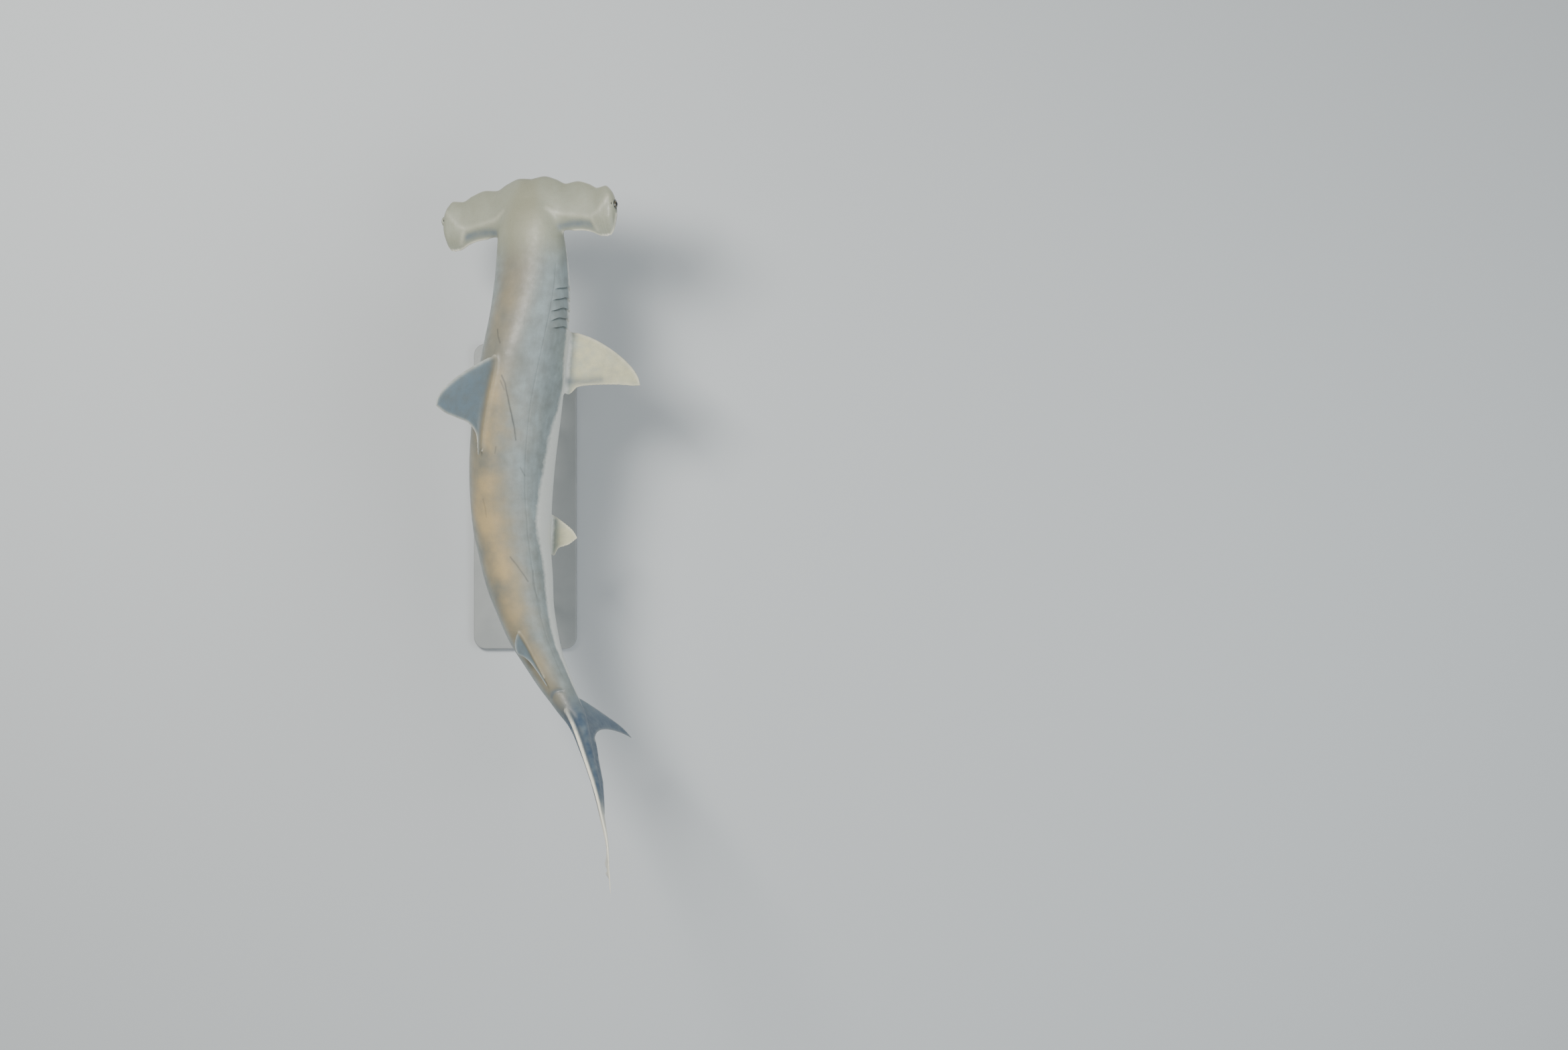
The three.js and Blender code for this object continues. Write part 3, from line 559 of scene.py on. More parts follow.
def distance_to(points, line, within):
    """Each point's distance to a line of points, or a large value past the given reach."""
    line = np.asarray(line, float)
    found = np.full(len(points), 9.0)
    near = np.all((points > line.min(0) - within) & (points < line.max(0) + within), axis=1)
    rows = np.nonzero(near)[0]
    for part in np.array_split(rows, max(1, len(rows) * len(line) // 4_000_000)):
        gaps = (line**2).sum(1) - 2 * points[part] @ line.T
        found[part] = np.sqrt(np.maximum(gaps.min(1) + (points[part] ** 2).sum(1), 0))
    return found


def marked(points, lines, reach, width):
    """1 on the nearest of several lines and less with distance, as far as the reach."""
    return np.maximum.reduce([bell(distance_to(points, line, reach), width) for line in lines])


# Where a point stands on the body
def station_of(points):
    return -points[:, 1] / PERCENT


def body_share(points):
    """How far out a point is from the body's axis, as a share of the way to the body's surface."""
    station = station_of(points)
    rise = points[:, 2] / PERCENT - along(AXIS_RISE, station)
    height, fullness = half_section(station, rise >= 0)
    w = np.abs(points[:, 0]) / PERCENT / along(HALF_WIDTH, station)
    share = (w ** (2 / fullness) + (np.abs(rise) / height) ** (2 / fullness)) ** (fullness / 2)
    return np.where((station > BODY_START) & (station < BODY_END), share, 9)


def crossing(rings):
    """Points where a form's rings pass through the body's surface."""
    share = body_share(rings.reshape(-1, 3)).reshape(rings.shape[:2])
    r, i = np.nonzero((share[1:] < 1) != (share[:-1] < 1))
    inner, outer = share[r, i], share[r + 1, i]
    t = ((1 - inner) / (outer - inner))[:, None]
    return rings[r, i] * (1 - t) + rings[r + 1, i] * t


def made_skin():
    """The whole skin in the straight frame, with every fin grown smoothly from the body."""
    wing = wing_rings()
    blades = {name: fin_rings(fin) for name, fin in FINS.items()}
    forms = [loft(rings) for rings in (body_rings(), wing, *blades.values())]
    mesh = in_one(mesh_from("rough", forms))
    points = points_of(mesh)
    points = relaxed(mesh, points, np.ones(len(points)), SMOOTHING)
    roots = [(crossing(wing), WING_FILLET, WING_FILLET_ROUNDS)]
    for name, fin in FINS.items():
        roots.append((crossing(blades[name]), fin["fillet"] * 2.2, fin["fillet"] ** 2 // 2))
    for line, reach, rounds in roots:
        weight = smooth_step(1.4 - distance_to(points, line, reach * MM * 1.5) / (reach * MM))
        points = relaxed(mesh, points, weight, [0.6] * rounds)
    points = finer(mesh, points, near_details(points))
    return mesh, finer(mesh, points, at_details(points))


def finer(mesh, points, wanted):
    """The skin with the faces of a zone cut in four."""
    set_points(mesh, points)
    work = bmesh.new()
    work.from_mesh(mesh)
    chosen = [edge for edge in work.edges if all(wanted[end.index] for end in edge.verts)]
    bmesh.ops.subdivide_edges(work, edges=chosen, cuts=1, use_grid_fill=True)
    work.to_mesh(mesh)
    work.free()
    points = points_of(mesh)
    return relaxed(mesh, points, np.ones(len(points)), FINER_SMOOTHING)


def near_details(points):
    """The gills, the head's wing and the mouth."""
    station = station_of(points)
    out, height = np.abs(points[:, 0]) / PERCENT, points[:, 2] / PERCENT
    gills = (station > 13.2) & (station < 20.4) & (np.abs(height) < 3.6)
    wing = (station < 9.3) & (out > 4)
    mouth = (station > 3) & (station < 8.2) & (out < 4.2) & (height < -0.8)
    return gills | wing | mouth


def at_details(points):
    """The eyes, the gill slits, the line of the mouth and the nostrils."""
    found = np.zeros(len(points), bool)
    for gill, share in GILLS:
        behind, within = gill_place(points, gill, share)
        found |= (behind > -0.12) & (behind < 0.3) & (within > 0.02)
    from_mouth = distance_to(points * (1, 1, 0), mouth_line(), 0.02)
    found |= (from_mouth < 6 * MM) & (points[:, 2] < -0.02)
    for side in (1, -1):
        found |= np.linalg.norm(points - eye_centre(side), axis=1) < 1.9 * EYE_RADIUS
        found |= distance_to(points, edge_line(NOSTRIL, side), 0.03) < 9 * MM
    return found


# Details, each of them a push along the skin's own normal
def gill_place(points, gill, share):
    """How far behind a gill slit each point is, in pitches, and whether it is between its ends."""
    height = points[:, 2] / PERCENT
    wave = GILL_WAVE * np.sin(GILL_WAVES * height + 9 * gill)
    lean = GILL_LEAN * (height / GILL_TOP) ** 2 + wave
    behind = (station_of(points) - lean - gill) / GILL_PITCH
    top = smooth_step((GILL_TOP * share - height) / GILL_FADE)
    bottom = smooth_step((height - GILL_BOTTOM * share) / GILL_FADE)
    on_flank = np.abs(points[:, 0]) > 2 * PERCENT
    return behind, top * bottom * on_flank


def gill_relief(points):
    """Height of the gill flaps over the slits, and how deep in a slit each point is."""
    relief, hollow = np.zeros((2, len(points)))
    for gill, share in GILLS:
        behind, within = gill_place(points, gill, share)
        after = smooth_step(0.5 + behind / FLAP_ROUNDING)
        near = np.clip(1 - np.abs(behind), 0, 1)
        relief += (FLAP_LIFT * near**2 * (1 - after) - GILL_DEPTH * near**6 * after) * within
        hollow = np.maximum(hollow, near**11 * after * within)
    return relief, hollow


def mouth_line():
    angle = np.linspace(-0.49, 0.49, 240) * np.pi
    back = MOUTH_STATION + MOUTH_LENGTH * (1 - np.cos(angle))
    return np.column_stack([MOUTH_HALF_WIDTH * np.sin(angle), -back, 0 * angle])


def mouth_relief(points, normals):
    """The lips and the line between them, on the underside only."""
    flat = points * (1, 1, 0)
    under = smooth_step(-normals[:, 2] * 2)
    gap = distance_to(flat, mouth_line(), 0.03)
    share = np.clip(flat[:, 0] / MOUTH_HALF_WIDTH, -1, 1)
    behind = -flat[:, 1] - MOUTH_STATION > MOUTH_LENGTH * (1 - np.sqrt(1 - share**2))
    upper, lower = (rise * bell(gap - away, width) for rise, away, width in (UPPER_LIP, LOWER_LIP))
    groove = bell(gap, MOUTH_GROOVE)
    return (np.where(behind, lower, upper) - MOUTH_DEPTH * groove) * under, groove * under


def edge_line(span, side):
    """A line along the lower side of the wing's front edge."""
    return wing_point(np.linspace(*span, 60) * side, np.full(60, 0.05), -1)


def nostril_relief(points):
    """The nostrils and the grooves that lead to them."""
    relief, hollow = np.zeros((2, len(points)))
    dents = ((NOSTRIL, NOSTRIL_WIDTH, NOSTRIL_DEPTH), (GROOVE, GROOVE_WIDTH, GROOVE_DEPTH))
    for side in (1, -1):
        for span, width, depth in dents:
            dent = marked(points, [edge_line(span, side)], 0.02, width)
            relief -= dent * depth
            hollow = np.maximum(hollow, dent * depth / NOSTRIL_DEPTH)
    return relief, hollow


def filled(rows):
    """The two columns of a line's rows, with many rows put in between."""
    place = np.linspace(0, len(rows) - 1, 40 * len(rows))
    return [np.interp(place, range(len(rows)), column) for column in zip(*rows)]


def wing_lines(*marks):
    """Lines on both ends of the wing's top, through rows of distance from the middle and station."""
    lines = []
    for out, station in map(filled, marks):
        front, rear = along(WING_FRONT, out), along(WING_REAR, out)
        chord = (station - front) / (rear - front)
        lines += [wing_point(side * out, chord, 1) for side in (1, -1)]
    return lines


def wing_shares(points, normals):
    """The ridge near the wing's rear edge, with painted highlight, and the hollow behind, in painted
    shade.
    """
    ridge = marked(points, wing_lines(WING_RIDGE, WING_RIDGE_END), 0.03, 9 * MM)
    shade = marked(points, wing_lines(WING_SHADE), 0.04, 14 * MM)
    top = smooth_step(normals[:, 2] * 2)
    return ridge * top, shade * (1 - ridge) * top


def pit_share(points):
    """The crescent-shaped pits above and below the tail stalk, just ahead of the tail fin."""
    out, station = np.abs(points[:, 0]) / PERCENT, station_of(points)
    return bell(station - PIT_STATION - 0.3 * out**2, 0.3) * smooth_step((1.35 - out) / 0.5)


def back_line(rows):
    """A line on the back's surface through rows of station and distance to the side."""
    station, w = filled(rows)
    share = np.abs(w) / along(HALF_WIDTH, station)
    h = along(BACK_HEIGHT, station) * (1 - share ** (2 / BACK_FULLNESS)) ** (BACK_FULLNESS / 2)
    return np.column_stack([w, -station, h + along(AXIS_RISE, station)]) * PERCENT


def lateral_line(side):
    """The line of sense organs that runs along the upper flank."""
    stations = np.linspace(LATERAL_START, LATERAL_END, 24)
    return back_line(list(zip(stations, side * LATERAL_SHARE * along(HALF_WIDTH, stations))))


def line_share(points):
    return marked(points, [lateral_line(side) for side in (1, -1)], 0.01, 2.4 * MM)


def scar_share(points):
    marks = np.zeros(len(points))
    for strength, rows in SCARS:
        width = (1.5 + 1.2 * strength) * MM
        marks = np.maximum(marks, strength * marked(points, [back_line(rows)], 0.02, width))
    return marks


def eye_centre(side):
    return np.array(EYE_CENTRE) * (side, 1, 1)


def from_eye(points, side):
    """Each point's way from an eye's centre, its length, and its angle from where the eye looks."""
    away = points - eye_centre(side)
    reach = np.linalg.norm(away, axis=1)
    return away, reach, np.arccos(np.clip(away[:, 0] * side / np.maximum(reach, 1e-6), -1, 1))


def lidded(points):
    """Skin drawn over the eyeballs as lids, and behind the eye's surface inside their opening."""
    points = points.copy()
    for side in (1, -1):
        away, reach, angle = from_eye(points, side)
        near = reach < 2.4 * EYE_RADIUS
        lid = EYE_RADIUS + LID_THICKNESS + LID_ROLL * bell(angle - LID_OPENING - 0.24, 0.2)
        covered = np.maximum(reach, lid)
        over = smooth_step((math.radians(100) - angle) / 0.5)
        closed = reach + (covered - reach) * over
        new = np.where(angle < LID_OPENING, 0.82 * EYE_RADIUS, closed)
        points[near] = (points - away + away * (new / np.maximum(reach, 1e-6))[:, None])[near]
    return points


def lid_share(points):
    """The dark rim round each eye's opening."""
    rim = np.zeros(len(points))
    for side in (1, -1):
        _, reach, angle = from_eye(points, side)
        inside = smooth_step((LID_OPENING + 0.2 - angle) / 0.18)
        rim = np.maximum(rim, inside * (reach < 1.4 * EYE_RADIUS))
    return rim


class Blade:
    """The skin's points on one fin, with their distances to its free edges in its own plane.

    off_body says which points stand clear of the body.
    """

    def __init__(self, points, fin, off_body):
        self.local = onto_plane(points, fin["plane"])
        u = np.linspace(0, 1, 300)
        front, rear = fin_edges(fin, u)
        low = np.minimum(front.min(0), rear.min(0)) - 0.01
        high = np.maximum(front.max(0), rear.max(0)) + 0.01
        inside = np.all((self.local[:, :2] > low) & (self.local[:, :2] < high), axis=1)
        self.on = inside & (np.abs(self.local[:, 2]) < 0.02) & off_body
        self.flat = np.where(self.on[:, None], self.local[:, :2], 9)
        from_front, from_rear = fin.get("free", (0.1, 0.1))
        self.front = distance_to(self.flat, front[u > from_front], 0.4)
        self.rear = distance_to(self.flat, rear[u > from_rear], 0.4)


def thinned(points):
    """Fins drawn thin towards their rear edges."""
    off_body = body_share(points) > ROOT_SHARE
    points = points.copy()
    for fin in FINS.values():
        blade = Blade(points, fin, off_body)
        keep = 0.45 + 0.55 * smooth_step(blade.rear / (16 * MM))
        shift = np.where(blade.on, (keep - 1) * blade.local[:, 2], 0)
        points += shift[:, None] * np.array(fin["plane"]["across"])
    return points


# Markings, each a share from 0 to 1 for every point
def belly_share(points, normals):
    station = station_of(points)
    rise = points[:, 2] / PERCENT - along(AXIS_RISE, station)
    steepness = along(BACK_HEIGHT, station) / along(HALF_WIDTH, station)
    angle = np.degrees(np.arctan2(rise, np.abs(points[:, 0]) / PERCENT * steepness))
    flank = smooth_step((along(BELLY_LINE, station) + 9 - angle) / 18)
    under = smooth_step(-normals[:, 2] * 1.6 - 0.1)
    off_body = smooth_step((body_share(points) - ROOT_SHARE) / 0.15)
    return flank * (1 - off_body) + under * off_body


def flank_share(points):
    out = np.abs(points[:, 0]) / PERCENT / along(HALF_WIDTH, station_of(points))
    return smooth_step((out - 0.25) / 0.6)


def warm_share(points):
    station = station_of(points)
    sideways = points[:, 0] / PERCENT - along(WARM_MIDDLE, station)
    sideways = sideways / (along(HALF_WIDTH, station) * along(WARM_WIDTH, station))
    on_back = smooth_step(points[:, 2] / PERCENT / 2)
    on_body = smooth_step((ROOT_SHARE + 0.2 - body_share(points)) / 0.2)
    return along(WARM_BACK, station) * bell(sideways, 1) * on_back * on_body


def fin_shares(points):
    """Pale edges, in part painted highlight; paired and upright fins' tones; painted shadow and dusk;
    rays.
    """
    shares = {name: np.zeros(len(points)) for name in ("rim", "paired", "upright", "dusk_and_shadow", "chord")}
    away = body_share(points) - ROOT_SHARE
    for fin in FINS.values():
        blade = Blade(points, fin, away > 0)
        front_rim, rear_rim = fin["rims"]
        rim = np.maximum(front_rim * bell(blade.front, 7 * MM), rear_rim * bell(blade.rear, 6 * MM))
        if "rim_start" in fin:
            rim = rim * (0.25 + 0.75 * rising(station_of(points), fin["rim_start"]))
        shares["rim"] = np.maximum(shares["rim"], rim * blade.on)
        kind = "paired" if fin.get("paired") else "upright"
        shares[kind] = np.maximum(shares[kind], blade.on * smooth_step(away / 0.3))
        if "shade" in fin:
            line = spline(fin["shade"], np.linspace(0, 1, 60))
            shares["dusk_and_shadow"] += 0.8 * bell(distance_to(blade.flat, line, 0.1), 15 * MM)
        shares["chord"] += np.where(blade.on, blade.front / (blade.front + blade.rear), 0)
    return shares


def wing_rim(points):
    """The pale rear edge of the head's wing, and a painted highlight along its front edge."""
    across = np.linspace(-WING_HALF_SPAN, WING_HALF_SPAN, 900)
    rim = np.zeros(len(points))
    for chord, width, strength in ((1.0, 6, 0.9), (0.0, 5, 0.5)):
        line = wing_point(across, np.full(900, chord), 0)
        rim = np.maximum(rim, strength * marked(points, [line], 0.03, width * MM))
    return rim


def nick_share(points):
    """The torn, white notches of the wing's rear corners."""
    across = [side * nick for side in (1, -1) for nick in WING_NICKS]
    places = wing_point(np.array(across), np.full(len(across), 0.99), 0)
    return marked(points, [[place] for place in places], 0.02, 4.2 * MM)


def carved(mesh, points):
    """The skin with every detail pushed in or out, and the shares that mark those details."""
    normals = normals_of(mesh, points)
    gills, gill_hollow = gill_relief(points)
    mouth, mouth_hollow = mouth_relief(points, normals)
    nostril, nostril_hollow = nostril_relief(points)
    ridge, shade = wing_shares(points, normals)
    pit, line = pit_share(points), line_share(points)
    marks = RIDGE_LIFT * ridge - SHADE_DEPTH * shade - PIT_DEPTH * pit - LINE_DEPTH * line
    points = points + (gills + mouth + nostril + marks)[:, None] * normals
    return points, {
        "ridge": ridge,
        "shade": np.maximum(shade, 0.8 * pit),
        "line": line,
        # Depth in the gill slits, the mouth's line and the nostrils, which the material darkens as
        # painted shade
        "hollow": np.maximum.reduce([gill_hollow, mouth_hollow, nostril_hollow]),
    }


def toned(mesh, points):
    """The shares of every tone and mark that isn't a relief."""
    station = station_of(points)
    shares = fin_shares(points)
    # The tail's end is painted pale as a highlight of its lit edge, joined to the pale edges.
    tail_end_highlight = 0.9 * rising(station, TAIL_END_HIGHLIGHT)
    shares["rim"] = np.maximum.reduce([shares["rim"], wing_rim(points), tail_end_highlight])
    return {
        **shares,
        "belly": belly_share(points, normals_of(mesh, points)),
        "flank": flank_share(points),
        "warm": warm_share(points),
        "nick": nick_share(points),
        "scar": scar_share(points),
        "lid": lid_share(points),
        "head": 1 - rising(station, HEAD_TONE_END),
        # The tail's dark tone is painted shade over the tail stalk and tail fin.
        "tail": rising(station, TAIL_SHADE_START) * (1 - rising(station, TAIL_SHADE_END)),
    }


def add_skin():
    mesh, points = made_skin()
    points, relief_shares = carved(mesh, lidded(points))
    points = thinned(points)
    shares = {**toned(mesh, points), **relief_shares}
    set_points(mesh, posed(points))
    add_values(mesh, "rest", points)
    for name, share in shares.items():
        add_values(mesh, name, share)
    skin = shown("shark_skin", mesh, skin_material())
    flesh = [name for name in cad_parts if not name.startswith(("stand", "eye"))]
    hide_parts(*flesh)


def add_values(mesh, name, values):
    """A value or a vector for each point, for the mesh's material."""
    kind, field = ("FLOAT", "value") if values.ndim == 1 else ("FLOAT_VECTOR", "vector")
    layer = mesh.attributes.new(name, kind, "POINT")
    layer.data.foreach_set(field, values.astype(np.float32).ravel())


def shown(name, mesh, material):
    """A smooth object of a mesh, which stays with the model's root."""
    mesh.polygons.foreach_set("use_smooth", np.ones(len(mesh.polygons), bool))
    mesh.materials.clear()
    mesh.materials.append(material)
    piece = placed(name, mesh)
    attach(piece, "root")
    return piece


# Materials
def linear(*screen):
    """A screen colour of 0 to 255 as the linear one that shaders take."""
    return [((c / 255 + 0.055) / 1.055) ** 2.4 if c > 10 else c / 255 / 12.92 for c in screen] + [1]


class Shader:
    """A new material's node tree, with short calls for the nodes it is made of."""

    def __init__(self, name):
        self.material = bpy.data.materials.new(name)
        self.material.use_nodes = True
        self.tree = self.material.node_tree
        self.surface = self.tree.nodes["Principled BSDF"]

    def node(self, kind, inputs=(), **settings):
        made = self.tree.nodes.new(kind)
        for key, value in settings.items():
            setattr(made, key, value)
        for key, value in dict(inputs).items():
            self.feed(made.inputs[key], value)
        return made

    def feed(self, socket, value):
        if isinstance(value, bpy.types.NodeSocket):
            self.tree.links.new(value, socket)
        else:
            socket.default_value = value

    def set(self, **values):
        for key, value in values.items():
            self.feed(self.surface.inputs[key.replace("_", " ")], value)

    def share(self, name):
        return self.node("ShaderNodeAttribute", attribute_name=name).outputs["Fac"]

    def vector(self, name):
        return self.node("ShaderNodeAttribute", attribute_name=name).outputs["Vector"]

    def stretched(self, where, x, y, z):
        return self.node("ShaderNodeMapping", {"Vector": where, "Scale": (x, y, z)}).outputs["Vector"]

    def noise(self, where, scale, detail=3.0, low=0.0, high=1.0):
        """Noise spread over low to high."""
        raw = self.node("ShaderNodeTexNoise", {"Vector": where, "Scale": scale, "Detail": detail})
        return self.spread(raw.outputs["Fac"], 0.3, 0.7, low, high)

    def dots(self, where, scale, size):
        """Small round dots at random places."""
        cells = self.node("ShaderNodeTexVoronoi", {"Vector": where, "Scale": scale})
        return self.spread(cells.outputs["Distance"], size * 0.6, size, 1, 0)

    def spread(self, value, from_low, from_high, low, high):
        limits = {"From Min": from_low, "From Max": from_high, "To Min": low, "To Max": high}
        return self.node("ShaderNodeMapRange", {"Value": value, **limits}).outputs["Result"]

    def math(self, operation, first, second, use_clamp=True):
        settings = {"operation": operation, "use_clamp": use_clamp}
        return self.node("ShaderNodeMath", {0: first, 1: second}, **settings).outputs[0]

    def times(self, first, second):
        return self.math("MULTIPLY", first, second)

    def blend(self, share, first, second):
        inputs = {"Factor": share, "A": first, "B": second}
        return self.node("ShaderNodeMix", inputs, data_type="RGBA").outputs["Result"]

    def bump(self, height, distance, strength=1.0, normal=None):
        inputs = {"Height": height, "Distance": distance, "Strength": strength}
        if normal:
            inputs["Normal"] = normal
        return self.node("ShaderNodeBump", inputs).outputs["Normal"]


BACK = linear(116, 117, 106)
BACK_DARK = linear(88, 91, 86)
FLANK = linear(142, 156, 158)
WARM = linear(170, 150, 108)
HEAD = linear(146, 147, 124)
BELLY = linear(208, 210, 203)
# Painted shade in the gill slits, along the mouth's line and in the nostrils
HOLLOW_SHADE = linear(70, 66, 64)

# Tones and marks in the order in which they lie over each other: share, colour and strength
MARKS = [
    ("paired", linear(206, 200, 158), 0.8),
    ("upright", linear(112, 134, 148), 0.85),
    # Painted shade over the tail stalk and tail fin, in dark blue
    ("tail", linear(44, 68, 92), 0.95),
    ("shade", linear(84, 100, 114), 0.8),
    # Painted shadow of the body on the pectoral fins, with their dusky band
    ("dusk_and_shadow", linear(78, 94, 108), 0.85),
    # Painted highlight along the wing's ridge
    ("ridge", linear(238, 234, 214), 0.16),
    # Pale edges; on the tail fin's front edge, its end and the wing's front edge, a painted highlight
    ("rim", linear(238, 234, 214), 1.0),
    ("nick", linear(244, 242, 234), 1.0),
    ("scar", linear(54, 58, 58), 0.9),
    ("line", linear(78, 84, 84), 0.22),
    ("lid", linear(40, 44, 48), 0.85),
]
PUPIL = linear(6, 6, 7)
IRIS = linear(62, 58, 46), linear(106, 98, 72)
EYE_RING = linear(34, 37, 42)
LACQUER = linear(140, 144, 143), linear(150, 153, 152)
STEEL = linear(150, 153, 155), linear(176, 178, 180)
FLOOR = linear(186, 190, 192)


def body_colour(shader, rest):
    """The back, the flanks and the belly, with their patches and streaks."""
    streaks = shader.noise(shader.stretched(rest, 1.0, 0.2, 1.0), 46.0, 4.0)
    flank = shader.times(shader.share("flank"), shader.noise(rest, 7.0, 4.0, 0.6, 1.2))
    colour = shader.blend(flank, BACK, FLANK)
    colour = shader.blend(shader.times(shader.noise(rest, 30.0, 5.0), 0.42), colour, BACK_DARK)
    colour = shader.blend(shader.times(streaks, 0.26), colour, BACK_DARK)
    warm = shader.times(shader.share("warm"), shader.noise(rest, 9.0, 5.0, 0.1, 1.25))
    colour = shader.blend(warm, colour, WARM)
    colour = shader.blend(shader.times(shader.share("head"), 0.75), colour, HEAD)
    ragged = shader.noise(rest, 60.0, 4.0, -0.16, 0.16)
    belly = shader.math("ADD", shader.share("belly"), ragged, use_clamp=False)
    return shader.blend(shader.spread(belly, 0.2, 0.85, 0, 1), colour, BELLY)


def marked_colour(shader, rest, colour):
    """The fins' own tones and every mark, laid over the body's colour, and painted shade in hollows."""
    uneven = shader.noise(rest, 34.0, 5.0, 0.6, 1.0)
    for name, tone, strength in MARKS:
        share = shader.times(shader.times(shader.share(name), uneven), strength)
        colour = shader.blend(share, colour, tone)
    return shader.blend(shader.spread(shader.share("hollow"), 0.1, 0.9, 0, 0.48), colour, HOLLOW_SHADE)


def skin_material():
    shader = Shader("shark_skin")
    rest = shader.vector("rest")
    colour = marked_colour(shader, rest, body_colour(shader, rest))
    pores = shader.times(shader.dots(rest, 130.0, 0.16), shader.share("head"))
    colour = shader.blend(shader.times(pores, 0.45), colour, BACK_DARK)
    colour = shader.blend(shader.noise(rest, 420.0, 3.0, 0, 0.14), colour, BACK_DARK)
    shader.set(Base_Color=colour, Roughness=shader.noise(rest, 55.0, 4.0, 0.38, 0.54))
    shader.set(Specular_IOR_Level=0.5, Coat_Weight=0.12, Coat_Roughness=0.3)
    fins = shader.node("ShaderNodeCombineXYZ", {"X": shader.share("chord")}).outputs["Vector"]
    on_fin = shader.math("ADD", shader.share("paired"), shader.share("upright"))
    rays = shader.times(shader.noise(fins, 60.0, 2.0), on_fin)
    denticles = shader.bump(shader.noise(rest, 900.0, 2.0), 0.00025, 0.5)
    ribbed = shader.bump(rays, 0.0007, 0.5, denticles)
    shader.set(Normal=shader.bump(shader.noise(rest, 75.0, 4.0), 0.0006, 0.35, ribbed))
    return shader.material


# Eyes: one ball each, whose markings follow how far a point is from the middle of the pupil
def eye_material():
    shader = Shader("eye_surface")
    facing = shader.share("facing")
    fleck = shader.noise(shader.vector("rest"), 900.0, 4.0)
    iris = shader.blend(fleck, *IRIS)
    colour = shader.blend(shader.spread(facing, 0.84, 0.86, 0, 1), iris, PUPIL)
    colour = shader.blend(shader.spread(facing, 0.62, 0.7, 1, 0), colour, EYE_RING)
    shader.set(Base_Color=colour, Roughness=0.08, Coat_Weight=1.0, Coat_Roughness=0.02)
    return shader.material


def closed_up(mesh):
    """A loft without the doubled points at its ends, and with its faces turned out."""
    work = bmesh.new()
    work.from_mesh(mesh)
    bmesh.ops.remove_doubles(work, verts=work.verts, dist=0.01 * MM)
    bmesh.ops.recalc_face_normals(work, faces=work.faces)
    work.to_mesh(mesh)
    work.free()


def add_eye(name, side, material):
    """A ball with its cornea raised a little."""
    polar = np.linspace(0, np.pi, 48)[:, None]
    around = np.linspace(0, 2 * np.pi, 80, endpoint=False)[None, :]
    reach = EYE_RADIUS * (1 + 0.03 * bell(polar, 0.5))
    ring = np.sin(polar)
    ball = [side * np.cos(polar) + 0 * around, ring * np.cos(around), ring * np.sin(around)]
    points, faces = loft(np.stack(ball, axis=-1) * reach[..., None] + eye_centre(side))
    mesh = mesh_from(name, [(points, faces)])
    add_values(mesh, "facing", (points - eye_centre(side))[:, 0] * side / EYE_RADIUS)
    add_values(mesh, "rest", points)
    set_points(mesh, posed(points))
    closed_up(mesh)
    eye = shown(f"{name}_ball", mesh, material)
    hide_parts(name)


# Stand: a slab with rounded edges, and two turned rods that end just inside the belly
def stand_material():
    shader = Shader("stand_lacquer")
    where = shader.node("ShaderNodeTexCoord").outputs["Object"]
    colour = shader.blend(shader.noise(where, 9.0, 5.0), *LACQUER)
    shader.set(Base_Color=colour, Roughness=shader.noise(where, 30.0, 4.0, 0.46, 0.58))
    shader.set(Normal=shader.bump(shader.noise(where, 700.0, 2.0), 0.0002, 0.4))
    return shader.material


def rod_material():
    shader = Shader("rod_steel")
    where = shader.node("ShaderNodeTexCoord").outputs["Object"]
    brushed = shader.noise(shader.stretched(where, 1.0, 1.0, 60.0), 60.0, 4.0)
    shader.set(Base_Color=shader.blend(brushed, *STEEL))
    shader.set(Metallic=1.0, Roughness=shader.spread(brushed, 0, 1, 0.28, 0.42))
    shader.set(Normal=shader.bump(brushed, 0.0001, 0.3))
    return shader.material


def add_base(material):
    """A slab with round corners, whose edges are rounded above and below."""
    around = (np.arange(96) + 0.5) * np.pi / 48
    turn = np.linspace(0, np.pi / 2, 8)
    inset = BASE_BEVEL * np.concatenate([1 - np.sin(turn), 1 - np.cos(turn)])
    lower, upper = BASE_BEVEL * (1 - np.cos(turn)), BASE_HEIGHT - BASE_BEVEL * (1 - np.sin(turn))
    circle = np.column_stack([np.cos(around), np.sin(around)])
    corners = np.sign(circle) * (np.array([BASE_WIDTH, BASE_LENGTH]) / 2 - BASE_CORNER)
    rings = [
        np.column_stack([corners + (BASE_CORNER - gap) * circle, np.full(len(around), z)])
        for gap, z in zip(inset, np.concatenate([lower, upper]))
    ]
    dress("stand_base", "base_slab", rings, material)


def add_rod(name, place, top, material):
    """A rod whose collar stands on the base, turned from a profile of radius and height."""
    turn = np.linspace(0, np.pi / 2, 7)
    foot = BASE_HEIGHT + 0.3 * MM
    collar = foot + COLLAR_HEIGHT
    falls = [(1 - math.cos(a), 1 - math.sin(a)) for a in turn]
    edge = [(COLLAR - COLLAR_EDGE * u, collar - COLLAR_EDGE * v) for u, v in falls]
    hollow = [(ROD + COLLAR_HOLLOW * v, collar + COLLAR_HOLLOW * u) for u, v in falls]
    profile = [(COLLAR, foot), *edge, *hollow, (ROD, top)]
    around = np.linspace(0, 2 * np.pi, 72, endpoint=False)
    x, y = np.cos(around), np.sin(around)
    rings = [np.column_stack([place[0] + r * x, place[1] + r * y, z + 0 * x]) for r, z in profile]
    dress(name, f"{name}_turned", rings, material)


def dress(node, name, rings, material):
    """A piece shown in place of one node of the stand."""
    mesh = mesh_from(name, [loft(np.array(rings))])
    closed_up(mesh)
    piece = shown(name, mesh, material)
    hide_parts(node)


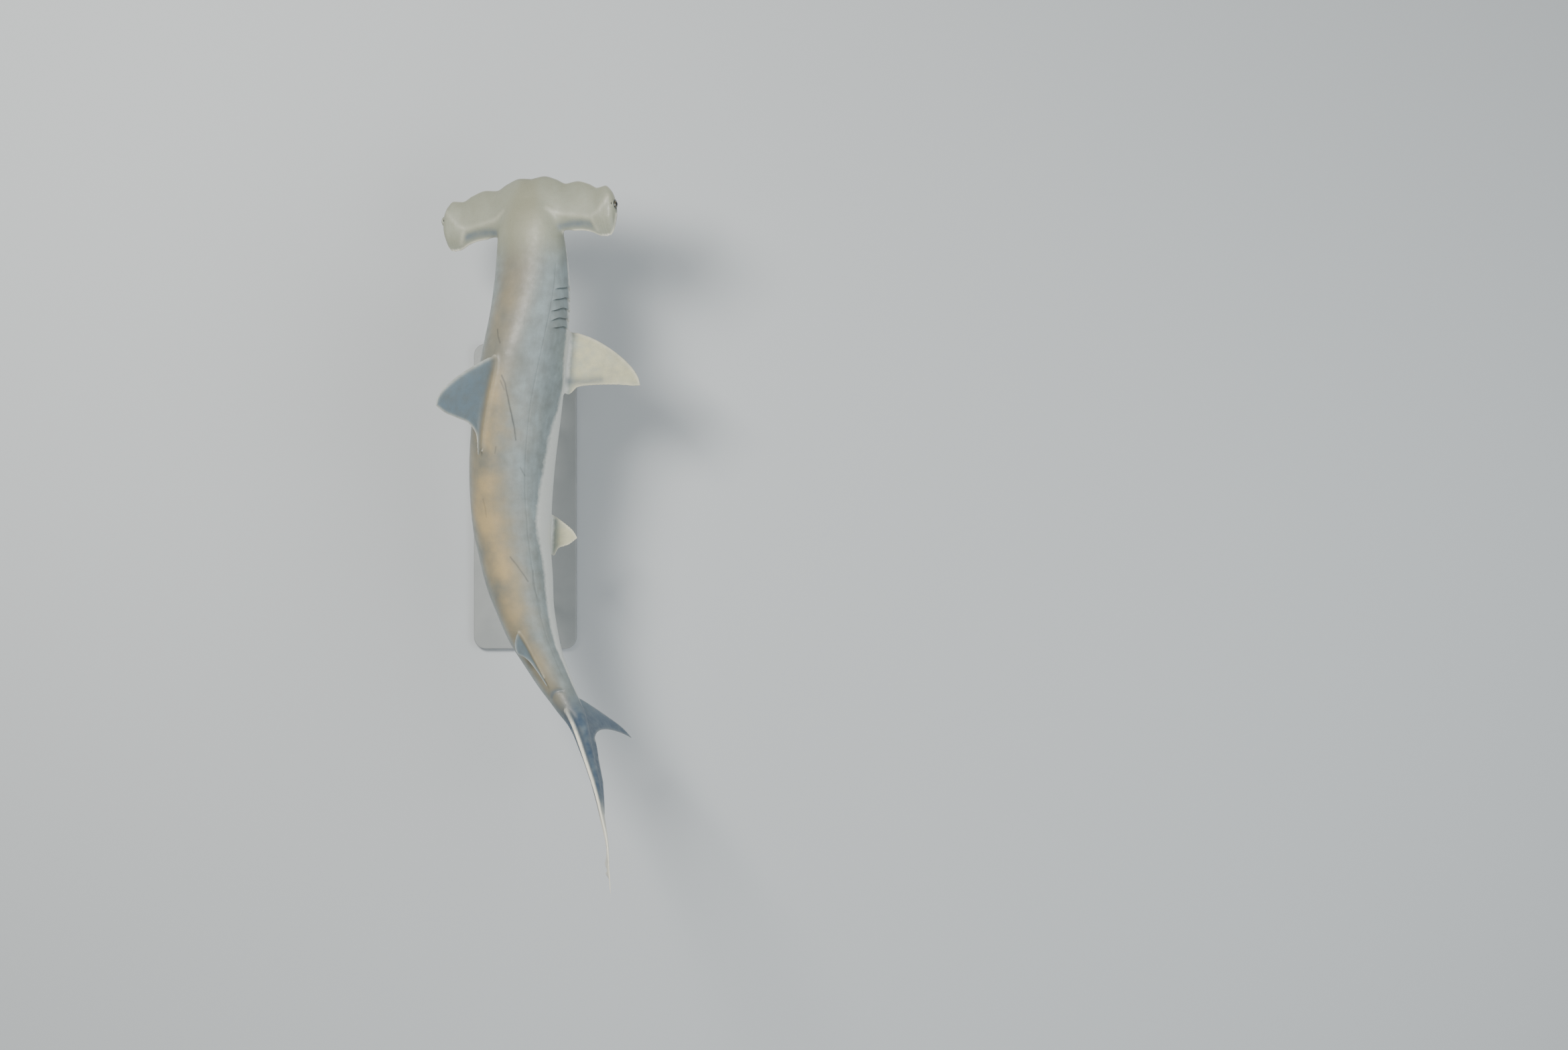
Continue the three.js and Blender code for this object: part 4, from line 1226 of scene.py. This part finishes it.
# Floor, light and camera. Each light has its name, place, size, power and colour.
LIT = (0, 0, 0.5)
LIGHTS = [
    ("key", (-2.2, 2.2, 5.0), 1.8, 380, (1.0, 0.97, 0.92)),
    ("fill", (3.4, -0.6, 4.2), 4.0, 150, (0.92, 0.97, 1.0)),
    ("back", (0.5, -5.0, 2.6), 3.0, 60, (1.0, 1.0, 1.0)),
]


def add_floor():
    size = 60.0
    mesh = bpy.data.meshes.new("floor")
    corners = [(x * size, y * size, -0.5 * MM) for x, y in ((-1, -1), (1, -1), (1, 1), (-1, 1))]
    mesh.from_pydata(corners, [], [(0, 1, 2, 3)])
    shader = Shader("floor_paint")
    shader.set(Base_Color=FLOOR, Roughness=0.9)
    mesh.materials.append(shader.material)
    placed("floor", mesh)


def add_light(name, place, size, power, colour):
    """A soft square light that faces the middle of the shark."""
    lamp = bpy.data.lights.new(name, "AREA")
    lamp.size = size
    lamp.energy = power
    lamp.color = colour
    light = placed(name, lamp)
    light.location = place
    light.rotation_mode = "QUATERNION"
    light.rotation_quaternion = (Vector(LIT) - Vector(place)).to_track_quat("-Z", "Y")


def add_sky():
    world = bpy.data.worlds.new("room")
    world.use_nodes = True
    sky = world.node_tree.nodes["Background"].inputs
    sky["Color"].default_value = (0.86, 0.9, 0.92, 1)
    sky["Strength"].default_value = 0.4
    bpy.context.scene.world = world


def add_camera():
    """Looks straight down from high above, with the shark left of the middle of the frame."""
    height = 20.0
    frame_width = 5.22
    sensor = 36.0
    lens = bpy.data.cameras.new("camera")
    lens.sensor_width = sensor
    lens.lens = sensor * height / frame_width
    lens.clip_end = 200.0
    camera = placed("camera", lens)
    camera.location = (0.882, -0.098, SNOUT[2] + height)
    bpy.context.scene.camera = camera


add_skin()
eye_surface = eye_material()
add_eye("eye_right", 1, eye_surface)
add_eye("eye_left", -1, eye_surface)
add_base(stand_material())
rod_steel = rod_material()
for name, station, top in RODS:
    place = posed(np.array([[0, -station, 0]]) * PERCENT)[0]
    add_rod(name, place, top, rod_steel)
add_floor()
for light in LIGHTS:
    add_light(*light)
add_sky()
add_camera()
